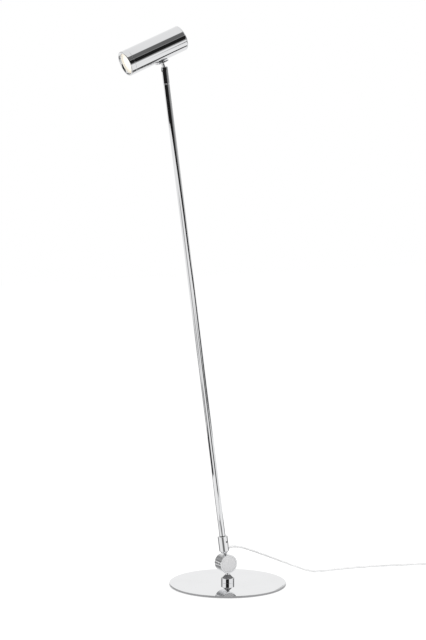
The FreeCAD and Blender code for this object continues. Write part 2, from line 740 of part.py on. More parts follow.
# ------------------------------------------------------------------ spot head
def make_stem():
    stem_radius = stem_diameter / 2
    shoulder = tube_under_pivot - saddle_height - rosette_thickness
    half_width = bracket_foot_width / 2
    foot_low = axis_above_pivot - math.sqrt(head_bore ** 2 - half_width ** 2) + fit_gap
    washer_low = foot_low + bracket_sheet
    nut_low = washer_low + stem_washer_thickness
    stem_top = nut_low + stem_nut_height + stem_past_nut
    thread_radius = stem_thread_diameter / 2

    round_end = Part.makeSphere(stem_radius)
    stem = cylinder(stem_radius, 0, shoulder).fuse(round_end)
    stem = stem.fuse(cylinder(thread_radius, shoulder - over, stem_top))
    stem = stem.cut(cylinder(cable_bore, 0, stem_top + over))
    reach = stem_radius + over
    stem = stem.cut(block((-reach, -stem_slot / 2, -reach), (reach, stem_slot / 2, reach)))
    tip_bore = cylinder(pivot_tip_diameter / 2 + running_gap, -reach, reach)
    tip_bore.rotate(Vector(0, 0, 0), Vector(1, 0, 0), 90)
    nodes["swivel_stem"] = in_head(stem.cut(tip_bore).removeSplitter())

    disc_top = shoulder + rosette_thickness
    saddle_radius = saddle_diameter / 2
    saddle_top = tube_under_pivot + head_radius - math.sqrt(head_radius ** 2 - saddle_radius ** 2)
    rosette_radius = rosette_diameter / 2
    rosette = turned([(0, shoulder), (rosette_radius - turned_edge, shoulder),
                      (rosette_radius, shoulder + turned_edge), (rosette_radius, disc_top - turned_edge),
                      (rosette_radius - turned_edge, disc_top), (saddle_radius, disc_top),
                      (saddle_radius, saddle_top), (0, saddle_top)])
    rosette = rosette.cut(cylinder(thread_radius + fit_gap, shoulder - over, saddle_top + over))
    shell = Part.makeCylinder(head_radius + fit_gap / 2, rosette_diameter,
                              Vector(-rosette_radius, 0, axis_above_pivot), Vector(1, 0, 0))
    nodes["rosette"] = in_head(rosette.cut(shell))

    washer = ring(stem_washer_diameter / 2, thread_radius + hole_gap, washer_low, nut_low)
    nodes["stem_washer"] = in_head(washer)
    nut = hexagon(stem_nut_flats, nut_low + fit_gap / 2, nut_low + stem_nut_height)
    nodes["stem_nut"] = in_head(nut.cut(cylinder(thread_radius + fit_gap, nut_low - over, stem_top)))
    return foot_low, stem_top


def make_head_shell():
    tube_end = head_length - rear_cap_face
    tube = ring(head_radius, head_bore, bezel_length, tube_end)
    stem_hole = cylinder(stem_thread_diameter / 2 + hole_gap, 0, axis_above_pivot)
    nodes["head_tube"] = head_part(tube).cut(in_head(stem_hole))

    opening = bezel_opening / 2
    lamp_bore = lamp_diameter / 2 + hole_gap
    plug = head_bore - fit_gap
    corner = bezel_edge * (1 - math.sqrt(0.5))
    outline = [Vector(opening, 0, bezel_edge), Vector(opening + corner, 0, corner),
               Vector(opening + bezel_edge, 0, 0), Vector(head_radius - bezel_edge, 0, 0),
               Vector(head_radius - corner, 0, corner), Vector(head_radius, 0, bezel_edge)]
    straight = [(head_radius, bezel_edge), (head_radius, bezel_length), (plug, bezel_length),
                (plug, bezel_length + bezel_spigot), (lamp_bore, bezel_length + bezel_spigot),
                (lamp_bore, bezel_lip), (opening, bezel_lip), (opening, bezel_edge)]
    edges = [Part.Arc(outline[0], outline[1], outline[2]).toShape(),
             Part.LineSegment(outline[2], outline[3]).toShape(),
             Part.Arc(outline[3], outline[4], outline[5]).toShape()]
    straight = [Vector(radius, 0, depth) for radius, depth in straight]
    edges += [Part.LineSegment(a, b).toShape() for a, b in zip(straight, straight[1:])]
    bezel = Part.Face(Part.Wire(edges)).revolve(Vector(0, 0, 0), Vector(0, 0, 1), 360)
    nodes["head_bezel"] = head_part(bezel)

    spigot_bore = plug - rear_cap_spigot_wall
    round_corner = rear_cap_edge * (1 - math.sqrt(0.5))
    start = Vector(head_radius, 0, head_length - rear_cap_edge)
    end = Vector(head_radius - rear_cap_edge, 0, head_length)
    middle = Vector(head_radius - round_corner, 0, head_length - round_corner)
    spigot_end = tube_end - rear_cap_spigot
    outline = [end, Vector(0, 0, head_length), Vector(0, 0, tube_end), Vector(spigot_bore, 0, tube_end),
               Vector(spigot_bore, 0, spigot_end), Vector(plug, 0, spigot_end),
               Vector(plug, 0, tube_end), Vector(head_radius, 0, tube_end), start]
    edges = [Part.Arc(start, middle, end).toShape()]
    edges += [Part.LineSegment(a, b).toShape() for a, b in zip(outline, outline[1:])]
    cap = Part.Face(Part.Wire(edges)).revolve(Vector(0, 0, 0), Vector(0, 0, 1), 360)
    nodes["head_rear_cap"] = head_part(cap)


def make_lamp():
    """The replaceable reflector lamp in the head.  Returns where its base ends."""
    gasket_low = bezel_lip + fit_gap / 2
    gasket_high = gasket_low + gasket_thickness
    rim_radius = lamp_diameter / 2
    nodes["lamp_gasket"] = head_part(ring(rim_radius, bezel_opening / 2 + hole_gap, gasket_low, gasket_high))

    face = gasket_high + fit_gap
    rim_end = face + lamp_rim
    bowl_end = rim_end + lamp_body_length
    base_end = bowl_end + lamp_base_length
    neck = lamp_neck_diameter / 2
    lens_radius = lens_diameter / 2
    along_share, spread_share = lamp_bowl_middle
    start = Vector(rim_radius, 0, rim_end)
    middle = Vector(neck + (rim_radius - neck) * spread_share, 0, rim_end + lamp_body_length * along_share)
    end = Vector(neck, 0, bowl_end)
    lens_seat = face + lens_thickness + 2 * fit_gap
    outline = [end, Vector(neck, 0, base_end), Vector(0, 0, base_end), Vector(0, 0, lens_seat),
               Vector(lens_radius + fit_gap, 0, lens_seat), Vector(lens_radius + fit_gap, 0, face),
               Vector(rim_radius, 0, face), start]
    edges = [Part.Arc(start, middle, end).toShape()]
    edges += [Part.LineSegment(a, b).toShape() for a, b in zip(outline, outline[1:])]
    body = Part.Face(Part.Wire(edges)).revolve(Vector(0, 0, 0), Vector(0, 0, 1), 360)
    pins = []
    pin_foot = base_end - lamp_pin_seat
    pin_end = base_end + lamp_pin_length
    for side in (-1, 1):
        hole = cylinder(lamp_pin_diameter / 2 + fit_gap, pin_foot - fit_gap, base_end + over)
        hole.translate(Vector(0, side * pin_spacing / 2, 0))
        body = body.cut(hole)
        pin = cylinder(lamp_pin_diameter / 2, pin_foot, pin_end)
        pin = pin.fuse(cylinder(lamp_pin_head_diameter / 2, pin_end - lamp_pin_head_height, pin_end))
        pin.translate(Vector(0, side * pin_spacing / 2, 0))
        pins.append(pin)
    nodes["lamp_body"] = head_part(body)
    nodes["lamp_lens"] = head_part(cylinder(lens_radius, face + fit_gap, face + fit_gap + lens_thickness))
    nodes["lamp_pins"] = head_part(Part.makeCompound(pins))
    return base_end


def make_lampholder(base_end, foot_low, stem_top):
    """Ceramic lampholder on its bracket, with the terminal block and the wires behind it."""
    holder_low = base_end + lampholder_gap
    holder_high = holder_low + lampholder_length
    holder_radius = lampholder_diameter / 2
    holder = turned([(0, holder_low), (holder_radius - lampholder_edge, holder_low),
                     (holder_radius, holder_low + lampholder_edge),
                     (holder_radius, holder_high - lampholder_edge),
                     (holder_radius - lampholder_edge, holder_high), (0, holder_high)])
    bore_end = base_end + lamp_pin_length + lampholder_gap
    for side in (-1, 1):
        bore = cylinder(lamp_pin_head_diameter / 2 + lampholder_gap, holder_low - over, bore_end)
        bore.translate(Vector(0, side * pin_spacing / 2, 0))
        holder = holder.cut(bore)

    plate_low = holder_high + fit_gap
    plate_high = plate_low + bracket_sheet
    wire_radius = wire_diameter / 2
    # The bracket is drawn in the head frame, whose X is the way back from the stem.
    plate_x = (plate_low - stem_from_front, plate_high - stem_from_front)
    half_plate = bracket_plate_width / 2
    half_foot = bracket_foot_width / 2
    plate_foot = axis_above_pivot - math.sqrt(head_bore ** 2 - half_plate ** 2) + bracket_sheet
    bracket = block((plate_x[0], -half_plate, plate_foot),
                    (plate_x[1], half_plate, axis_above_pivot + bracket_plate_top))
    leg = block((plate_x[0], -half_foot, foot_low), (plate_x[1], half_foot, plate_foot + over))
    bracket = bracket.fuse(leg)
    size_x, size_y, size_z = terminal_size
    block_end = head_length - terminal_from_rear - stem_from_front
    block_x = block_end - size_x
    foot_high = foot_low + bracket_sheet
    bracket = bracket.fuse(block((plate_x[0], -half_foot, foot_low), (block_end, half_foot, foot_high)))
    stem_hole = cylinder(stem_thread_diameter / 2 + hole_gap, foot_low - over, foot_high + over)
    bracket = bracket.cut(stem_hole)

    block_low = foot_high + fit_gap / 2
    block_high = block_low + size_z
    screw_x = block_x + size_x / 2
    terminal = block((block_x, -size_y / 2, block_low), (block_end, size_y / 2, block_high))
    groove_width_y, groove_drop = terminal_groove
    head_seat = block_high - groove_drop
    terminal = terminal.cut(block((block_x - over, -groove_width_y / 2, head_seat),
                                  (block_end + over, groove_width_y / 2, block_high + over)))
    screw_radius = holder_screw_diameter / 2
    screw_head_radius = holder_screw_head_diameter / 2
    screw_hole = cylinder(screw_radius + fit_gap, foot_low - over, block_high + over)
    recess = cylinder(screw_head_radius + hole_gap, head_seat, block_high + over)
    screw = cylinder(screw_radius, foot_low + fit_gap, head_seat + over)
    screw = screw.fuse(cylinder(screw_head_radius, head_seat + fit_gap, head_seat + holder_screw_head_height))
    for shape in (screw_hole, recess, screw):
        shape.translate(Vector(screw_x, 0, 0))
    bracket = bracket.cut(screw_hole)
    terminal = terminal.cut(screw_hole).cut(recess)
    nodes["terminal_screw"] = in_head(screw)

    wire_y = pin_spacing / 2
    wire_z = block_low + size_z / 2
    back_x = block_end + wire_loop_room
    wires = []
    for side in (-1, 1):
        y = side * wire_y
        bore = cylinder(wire_radius + body_gap, plate_low - over, plate_high + over)
        bore.translate(Vector(0, y, 0))
        bore.rotate(Vector(0, 0, 0), Vector(0, 1, 0), 90)
        bore.translate(Vector(-stem_from_front, 0, axis_above_pivot))
        bracket = bracket.cut(bore)
        wires.append(held_wire([(plate_x[0], y, axis_above_pivot), (back_x, y, axis_above_pivot),
                                (back_x, y, wire_z), (block_end + fit_gap, y, wire_z)],
                               wire_radius, wire_bend))
    nodes["lamp_wires"] = in_head(Part.makeCompound(wires))

    screws = []
    screw_foot = holder_high - holder_screw_reach
    screw_head_top = plate_high + fit_gap + holder_screw_head_height
    slot_floor_z = screw_head_top - holder_screw_head_height / 2
    for side in (-1, 1):
        screw = cylinder(screw_radius, screw_foot, plate_high + over)
        screw = screw.fuse(cylinder(screw_head_radius, plate_high + fit_gap, screw_head_top))
        screw = screw.cut(block((-holder_screw_slot / 2, -over - screw_head_radius, slot_floor_z),
                                (holder_screw_slot / 2, over + screw_head_radius, screw_head_top + over)))
        hole = cylinder(screw_radius + fit_gap, screw_foot - fit_gap, plate_high + over)
        for shape in (screw, hole):
            shape.translate(Vector(side * holder_screw_spacing / 2, 0, 0))
        screws.append(screw)
        holder = holder.cut(hole)
        hole.rotate(Vector(0, 0, 0), Vector(0, 1, 0), 90)
        hole.translate(Vector(-stem_from_front, 0, axis_above_pivot))
        bracket = bracket.cut(hole)
    nodes["lampholder"] = head_part(holder)
    nodes["lampholder_screws"] = head_part(Part.makeCompound(screws))
    nodes["lampholder_bracket"] = in_head(bracket)
    nodes["terminal_block"] = in_head(terminal)

    # The flex comes up the knuckle, turns at the pivot into the stem and ends at the terminal block.
    stem_lean = math.radians(head_pitch - rod_lean)
    below = tilt_pivot_along - journal_top - fit_gap
    turn_z = stem_top + head_flex_rise
    flex_points = [(-below * math.sin(stem_lean), 0, -below * math.cos(stem_lean)), (0, 0, 0),
                   (0, 0, turn_z), (block_x - head_flex_level, 0, wire_z), (block_x - fit_gap, 0, wire_z)]
    nodes["head_flex"] = in_head(held_wire(flex_points, flex_radius, head_flex_bend))


# ------------------------------------------------------------------ cord
def make_strain_relief():
    """Soft sleeve through the ferrule's wall, then a taper that droops with the cord.  Returns its end."""
    start = rod_point(cord_exit_along, ferrule_radius)
    lean = math.radians(rod_lean)
    droop = math.radians(relief_droop)
    bend = relief_length / droop
    centre = start - Vector(-math.sin(lean), 0, math.cos(lean)) * bend

    def on_arc(turn):
        angle = lean - turn
        return centre + Vector(-math.sin(angle), 0, math.cos(angle)) * bend

    end = on_arc(droop)
    end_way = Vector(math.cos(lean - droop), 0, math.sin(lean - droop))
    spine = Part.Wire([Part.Arc(start, on_arc(droop / 2), end).toShape()])
    start_way = Vector(math.cos(lean), 0, math.sin(lean))
    wide = Part.Wire([Part.Circle(start, start_way, relief_diameter / 2).toShape()])
    narrow = Part.Wire([Part.Circle(end, end_way, cord_diameter / 2 + relief_end_gap).toShape()])
    taper = spine.makePipeShell([wide, narrow], True, False)
    sleeve = in_rod(radial(cylinder((relief_diameter - fit_gap) / 2, outer_bore, ferrule_radius + body_gap),
                           0, cord_exit_along))
    ferrule_outside = in_rod(cylinder(ferrule_radius + fit_gap / 2, ferrule_foot, tube_seat))
    nodes["strain_relief"] = taper.cut(ferrule_outside).fuse(sleeve).removeSplitter()
    return end, end_way


def make_lead(start, start_way):
    """Free stretch from the strain relief down to the floor and along it to the switch."""
    end = Vector(switch_start[0], switch_start[1], coil_centre_z)
    points = [tuple(start + start_way * fit_gap)] + lead_points + [tuple(end)]
    wire, radii = rounded_path(points)
    tube = swept(wire, cord_diameter / 2, Vector(*points[1]) - Vector(*points[0]))
    nodes["cord_lead"] = tube
    section = math.pi * (cord_diameter / 2) ** 2
    print("lead: length %.1f, volume ratio %.4f" % (wire.Length, tube.Volume / (section * wire.Length)))
    print("lead radii:", " ".join("%.0f" % radius for radius in radii))
    return wire.Length


def coil_point(turn, first_angle, winding):
    """Centre of the coiled cord after some turns, about the coil's own axis, and its direction.

    It spirals in along the floor, climbs one pitch in the half turn where it reverses, and spirals out."""
    inward = coil_turns_per_layer
    climb_end = inward + 0.5
    outer_radius = coil_inner_radius + coil_pitch * inward
    if turn < inward:
        radius, radius_rate, rise, rise_rate = outer_radius - coil_pitch * turn, -coil_pitch, 0.0, 0.0
    elif turn <= climb_end:
        share = (turn - inward) / 0.5
        radius = coil_inner_radius - coil_pitch * 0.5 * share * (1 - share)
        radius_rate = coil_pitch * (2 * share - 1)
        rise = coil_pitch * (share - math.sin(2 * math.pi * share) / (2 * math.pi))
        rise_rate = coil_pitch * (1 - math.cos(2 * math.pi * share)) / 0.5
    else:
        radius, radius_rate = coil_inner_radius + coil_pitch * (turn - climb_end), coil_pitch
        rise, rise_rate = coil_pitch, 0.0
    angle = first_angle + winding * 2 * math.pi * turn
    outward = Vector(math.cos(angle), math.sin(angle), 0)
    around = Vector(-math.sin(angle), math.cos(angle), 0) * winding
    point = outward * radius + Vector(0, 0, coil_centre_z + rise)
    way = outward * radius_rate + around * (2 * math.pi * radius) + Vector(0, 0, rise_rate)
    return point, way.normalize()


def make_coil():
    """The stored length: from the switch into two neat layers of turns, and out again to the plug."""
    heading = math.radians(switch_heading)
    ahead = Vector(math.cos(heading), math.sin(heading), 0)
    leftward = Vector(-math.sin(heading), math.cos(heading), 0)
    begin = Vector(switch_start[0], switch_start[1], coil_centre_z) + ahead * (switch_length + fit_gap)
    outer_radius = coil_inner_radius + coil_pitch * coil_turns_per_layer
    first_angle = heading - math.pi / 2
    first_point = coil_point(0.0, first_angle, 1)[0]
    centre = begin + ahead * coil_lead_in - Vector(first_point.x, first_point.y, coil_centre_z)
    centre.z = 0
    turns = 2 * coil_turns_per_layer + 0.5
    quarter_steps = int(round(turns * 4))
    stations = [(begin, ahead), (begin + ahead * cord_diameter, ahead)]
    for k in range(quarter_steps + 1):
        point, way = coil_point(turns * k / quarter_steps, first_angle, 1)
        stations.append((centre + point, way))
    last = stations[-1][0]
    back = ahead * -1
    run = (coil_step_down, coil_step_down + coil_run_out)
    middle_way, end_way = [(back + leftward * slope).normalize() for slope in coil_aim]
    middle = last + back * run[0] + leftward * coil_step_aside[0]
    low = Vector(last.x, last.y, coil_centre_z) + back * run[1] + leftward * coil_step_aside[1]
    plug_end = low + end_way * cord_diameter
    stations += [(middle, middle_way), (low, end_way), (plug_end, end_way)]
    edges = []
    for station, following in zip(stations, stations[1:]):
        edges += biarc(*station, *following)
    wire = Part.Wire(edges)
    tube = swept(wire, cord_diameter / 2, ahead)
    nodes["cord_coil"] = tube
    section = math.pi * (cord_diameter / 2) ** 2
    print("coil: length %.1f, volume ratio %.4f, outer turn radius %.1f, centre %.1f %.1f"
          % (wire.Length, tube.Volume / (section * wire.Length), outer_radius, centre.x, centre.y))
    print("coil: least gap to itself %.2f" % least_gap(wire))
    return wire.Length, plug_end, end_way


def least_gap(wire):
    """Least distance between the surfaces of stretches of a tube more than a half turn apart."""
    step = cord_diameter / 3
    points = wire.discretize(Distance=step)
    apart = int(math.pi * coil_inner_radius / step)
    least = min((points[i] - points[j]).Length for i in range(0, len(points), 2)
                for j in range(i + apart, len(points)))
    return least - cord_diameter


# ------------------------------------------------------------------ switch
def in_switch(shape):
    """From a frame with X along the cord's way through the switch and the floor at 0, to the lamp."""
    placed = shape.copy()
    placed.rotate(Vector(0, 0, 0), Vector(0, 0, 1), switch_heading)
    placed.translate(Vector(switch_start[0], switch_start[1], floor_z))
    return placed


def switch_outline(inset, low, high):
    """Long rounded form of the switch, drawn in by an inset, between two heights."""
    half = switch_width / 2 - inset
    nose = cord_diameter / 2 + switch_nose_wall - inset
    near = inset
    far = switch_length - inset
    points = [(near, -nose), (near, nose), (switch_taper, half), (switch_length - switch_taper, half),
              (far, nose), (far, -nose), (switch_length - switch_taper, -half), (switch_taper, -half)]
    corners = [Vector(x, y, low) for x, y in points]
    return Part.Face(Part.makePolygon(corners + corners[:1])).extrude(Vector(0, 0, high - low))


def make_switch():
    outer = switch_outline(0, floor_z + floor_gap, switch_height)
    upright = [edge for edge in outer.Edges if abs(edge.Vertexes[0].Z - edge.Vertexes[-1].Z) > switch_wall]
    outer = outer.makeFillet(switch_corner, upright)
    shell = outer.cut(switch_outline(switch_wall, switch_wall, switch_height - switch_wall))
    centre = switch_length / 2
    ceiling = switch_height - switch_wall

    post_x, post_y = switch_post_place
    screw_radius = switch_screw_diameter / 2
    screw_top = switch_height - switch_screw_top_gap
    screw_head_radius = switch_screw_head_diameter / 2
    posts = []
    holes = []
    screws = []
    for x, y in ((post_x, post_y), (switch_length - post_x, -post_y)):
        post = cylinder(switch_post_diameter / 2, switch_wall - body_gap, ceiling + body_gap)
        hole = cylinder(screw_radius + fit_gap, -over, screw_top + fit_gap)
        head_hole = cylinder(screw_head_radius + fit_gap, -over, switch_screw_head_top + fit_gap)
        screw = cylinder(screw_radius, switch_screw_head_low, screw_top)
        screw = screw.fuse(cylinder(screw_head_radius, switch_screw_head_low, switch_screw_head_top))
        for shape in (post, hole, head_hole, screw):
            shape.translate(Vector(x, y, 0))
        posts.append(post)
        holes += [hole, head_hole]
        screws.append(screw)
    shell = shell.fuse(posts)

    window_x = rocker_length / 2 + rocker_swing_gap
    window_y = rocker_width / 2 + rocker_side_gap
    ear_length, ear_thickness = rocker_ear
    ear_outer = window_y + ear_thickness
    ears = []
    for low_y, high_y in ((-ear_outer, -window_y), (window_y, ear_outer)):
        ears.append(block((centre - ear_length / 2, low_y, rocker_pivot_height - rocker_ear_reach),
                          (centre + ear_length / 2, high_y, ceiling + body_gap)))
    shell = shell.fuse(ears)
    window = block((centre - window_x, -window_y, switch_split + over),
                   (centre + window_x, window_y, switch_height + over))
    along = Vector(1, 0, 0)
    across = Vector(0, 1, 0)
    passage = Part.makeCylinder(cord_diameter / 2 + fit_gap, switch_length + 2 * over,
                                Vector(-over, 0, coil_centre_z), along)
    axle_radius = rocker_axle_diameter / 2
    axle_seat = Part.makeCylinder(axle_radius + running_gap, 2 * ear_outer,
                                  Vector(centre, -ear_outer, rocker_pivot_height), across)
    shell = shell.cut(window).cut(passage).cut(axle_seat)
    for hole in holes:
        shell = shell.cut(hole)
    below = block((-over, -switch_width, -over), (switch_length + over, switch_width, switch_split))
    above = block((-over, -switch_width, switch_split),
                  (switch_length + over, switch_width, switch_height + over))
    nodes["switch_base"] = in_switch(shell.common(below).removeSplitter())
    nodes["switch_cover"] = in_switch(shell.common(above).removeSplitter())
    nodes["switch_screws"] = in_switch(Part.makeCompound(screws))

    arm = rocker_length / 2
    foot_arm = arm - rocker_end_slope
    low = rocker_pivot_height - rocker_depth
    ends_z = switch_height + rocker_horn
    outline = [Vector(-arm, 0, ends_z), Vector(0, 0, switch_height - rocker_dish), Vector(arm, 0, ends_z)]
    foot = [outline[2], Vector(foot_arm, 0, low), Vector(-foot_arm, 0, low), outline[0]]
    edges = [Part.Arc(*outline).toShape()]
    edges += [Part.LineSegment(a, b).toShape() for a, b in zip(foot, foot[1:])]
    rocker = Part.Face(Part.Wire(edges)).extrude(Vector(0, rocker_width, 0))
    rocker.translate(Vector(0, -rocker_width / 2, 0))
    axle_half = ear_outer - body_gap
    rocker = rocker.fuse(Part.makeCylinder(axle_radius, 2 * axle_half,
                                           Vector(0, -axle_half, rocker_pivot_height), across))
    rocker.translate(Vector(centre, 0, 0))
    # At rest the rocker lies over in its off position.
    rocker.rotate(Vector(centre, 0, rocker_pivot_height), across, -rocker_travel)
    nodes["switch_rocker"] = in_switch(rocker.removeSplitter())

    contacts = []
    strip_low = switch_wall + fit_gap / 2
    half_width = contact_width / 2
    half_sheet = contact_sheet / 2
    for side in (-1, 1):
        middle = centre + side * contact_place
        blade = centre + side * contact_blade_place
        strip = block((middle - contact_length / 2, -half_width, strip_low),
                      (middle + contact_length / 2, half_width, strip_low + contact_sheet))
        strip = strip.fuse(block((blade - half_sheet, -half_width, strip_low),
                                 (blade + half_sheet, half_width, switch_split - contact_blade_gap)))
        contacts.append(strip)
    nodes["switch_contacts"] = in_switch(Part.makeCompound(contacts))


# ------------------------------------------------------------------ plug
def make_plug(start, way):
    """Flat two-pin plug at the cord's end: tapered neck, flat hexagonal body and two sleeved pins."""
    heading = math.degrees(math.atan2(way.y, way.x))
    middle_z = plug_height / 2 + floor_gap
    half_height = plug_height / 2
    half_width = plug_width / 2
    edge_half = half_height * plug_edge

    def section(x, wide, wide_edge, tall):
        corners = [Vector(x, y, middle_z + z) for y, z in
                   ((-wide, -wide_edge), (-wide + tall - wide_edge, -tall), (wide - tall + wide_edge, -tall),
                    (wide, -wide_edge), (wide, wide_edge), (wide - tall + wide_edge, tall),
                    (-wide + tall - wide_edge, tall), (-wide, wide_edge))]
        return Part.makePolygon(corners + corners[:1])

    along = Vector(1, 0, 0)
    front_x = plug_neck_length + plug_length
    wide_share, edge_share, tall_share = plug_shoulder
    shoulder = section(plug_neck_length, half_width * wide_share, edge_half * edge_share,
                       half_height * tall_share)
    waist = section(plug_neck_length + plug_length * plug_waist, half_width, edge_half, half_height)
    front = section(front_x, half_width, edge_half, half_height)
    body = Part.makeLoft([shoulder, waist], True, True).fuse(Part.makeLoft([waist, front], True, True))
    cord_radius = cord_diameter / 2
    neck_end = Vector(plug_neck_length + over, 0, (coil_centre_z + middle_z) / 2)
    small = Part.Circle(Vector(0, 0, coil_centre_z), along, cord_radius + plug_neck_wall)
    large = Part.Circle(neck_end, along, cord_radius + plug_neck_spread)
    neck = Part.makeLoft([Part.Wire([small.toShape()]), Part.Wire([large.toShape()])], True, True)
    body = body.fuse(neck).removeSplitter()
    pin_radius = plug_pin_diameter / 2
    root_radius = plug_pin_root_diameter / 2
    pins = []
    for side in (-1, 1):
        y = side * plug_pin_spacing / 2
        base = Vector(front_x, y, middle_z)
        tip_base = Vector(front_x + plug_pin_length - plug_pin_tip, y, middle_z)
        root_start = Vector(front_x - plug_pin_root, y, middle_z)
        pin = Part.makeCylinder(pin_radius, plug_pin_length - plug_pin_tip, base, along)
        tip = Part.makeCone(pin_radius, pin_radius - plug_pin_tip_taper, plug_pin_tip, tip_base, along)
        root = Part.makeCylinder(root_radius, plug_pin_root, root_start, along)
        hole = Part.makeCylinder(root_radius + fit_gap, plug_pin_root + over, root_start - along * fit_gap,
                                 along)
        body = body.cut(hole)
        pins.append(pin.fuse(tip).fuse(root))
    for name, shape in (("plug_body", body), ("plug_pins", Part.makeCompound(pins))):
        placed = shape.copy()
        placed.rotate(Vector(0, 0, 0), Vector(0, 0, 1), heading)
        placed.translate(Vector(start.x, start.y, 0) + way * fit_gap)
        nodes[name] = placed


# ------------------------------------------------------------------ the lamp
def export(folder):
    os.makedirs(folder, exist_ok=True)
    for name, shape in nodes.items():
        if not shape.isValid():
            print("not valid:", name)
        shape.exportStep(os.path.join(folder, name + ".step"))


make_base()
make_hinge()
make_ferrule()
make_rod()
make_knuckle()
bracket_low, top_of_stem = make_stem()
make_head_shell()
lamp_end = make_lamp()
make_lampholder(lamp_end, bracket_low, top_of_stem)
relief_end, relief_way = make_strain_relief()
lead_length = make_lead(relief_end, relief_way)
coil_length, plug_start, plug_way = make_coil()
make_switch()
make_plug(plug_start, plug_way)
print("telescope travel: %.1f mm" % telescope_travel)
print("cord outside the lamp: %.0f mm" % (relief_length + lead_length + switch_length + coil_length))
export("parts")
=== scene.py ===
"""Finished surfaces, materials and studio for a chrome telescopic floor lamp.

Every length is in metres.  The origin is the centre of the base on the floor, +Z is up, the rod leans
towards -X, the hinge's plain round face looks towards -Y and the cord leaves towards +X.
"""
import json
import math

import bpy
import numpy as np
from bpy.props import FloatProperty, FloatVectorProperty, IntProperty, PointerProperty
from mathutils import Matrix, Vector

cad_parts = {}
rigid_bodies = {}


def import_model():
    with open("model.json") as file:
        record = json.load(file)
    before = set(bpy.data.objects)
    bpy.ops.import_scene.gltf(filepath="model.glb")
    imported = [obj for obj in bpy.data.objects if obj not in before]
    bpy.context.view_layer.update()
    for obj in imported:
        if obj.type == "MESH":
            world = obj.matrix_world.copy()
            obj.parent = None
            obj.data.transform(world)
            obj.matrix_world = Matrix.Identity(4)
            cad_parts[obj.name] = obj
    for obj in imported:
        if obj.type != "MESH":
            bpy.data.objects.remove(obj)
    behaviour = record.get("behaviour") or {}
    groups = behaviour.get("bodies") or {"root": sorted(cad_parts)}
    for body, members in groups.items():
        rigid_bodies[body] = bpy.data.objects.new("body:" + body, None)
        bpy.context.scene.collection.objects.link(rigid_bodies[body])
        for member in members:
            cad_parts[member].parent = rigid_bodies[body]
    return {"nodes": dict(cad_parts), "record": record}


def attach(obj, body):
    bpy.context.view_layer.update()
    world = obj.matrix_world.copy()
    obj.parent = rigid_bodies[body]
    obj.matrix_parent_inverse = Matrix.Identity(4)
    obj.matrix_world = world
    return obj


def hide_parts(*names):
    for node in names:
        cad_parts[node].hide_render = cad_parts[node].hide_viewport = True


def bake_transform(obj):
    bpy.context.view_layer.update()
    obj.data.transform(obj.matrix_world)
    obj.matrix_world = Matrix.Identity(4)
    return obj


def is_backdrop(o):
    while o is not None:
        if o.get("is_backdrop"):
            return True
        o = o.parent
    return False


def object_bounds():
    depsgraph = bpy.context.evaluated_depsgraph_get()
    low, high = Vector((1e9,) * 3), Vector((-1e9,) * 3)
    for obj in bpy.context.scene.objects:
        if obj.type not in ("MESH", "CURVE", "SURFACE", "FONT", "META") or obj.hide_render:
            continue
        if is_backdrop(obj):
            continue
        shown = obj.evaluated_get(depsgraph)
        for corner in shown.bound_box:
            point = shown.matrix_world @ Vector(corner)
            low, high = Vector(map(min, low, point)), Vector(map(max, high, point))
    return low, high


bl_info = {
    "name": "Telescopic floor lamp",
    "version": (1, 0, 0),
    "blender": (4, 5, 0),
    "location": "3D View > Sidebar > Floor Lamp",
    "description": "Builds the finished surfaces of a chrome telescopic floor lamp around its CAD frame",
    "category": "Add Mesh",
}

for left_over in list(bpy.data.objects):
    bpy.data.objects.remove(left_over)

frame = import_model()
CAD_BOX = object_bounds()


# ------------------------------------------------------------------ sizes and colours
def length(label, text, value):
    """A size in metres for the sidebar."""
    return FloatProperty(name=label, description=text, default=value, precision=4, subtype="DISTANCE",
                         unit="LENGTH", min=0.0)


def angle(label, text, degrees):
    """An angle for the sidebar, given in degrees."""
    return FloatProperty(name=label, description=text, default=math.radians(degrees), subtype="ANGLE",
                         unit="ROTATION")


def colour(label, text, *value):
    """A colour for the sidebar."""
    return FloatVectorProperty(name=label, description=text, default=value, size=3, subtype="COLOR",
                               min=0.0, max=1.0)


def plain(label, text, value):
    """A plain number for the sidebar."""
    return FloatProperty(name=label, description=text, default=value, min=0.0)


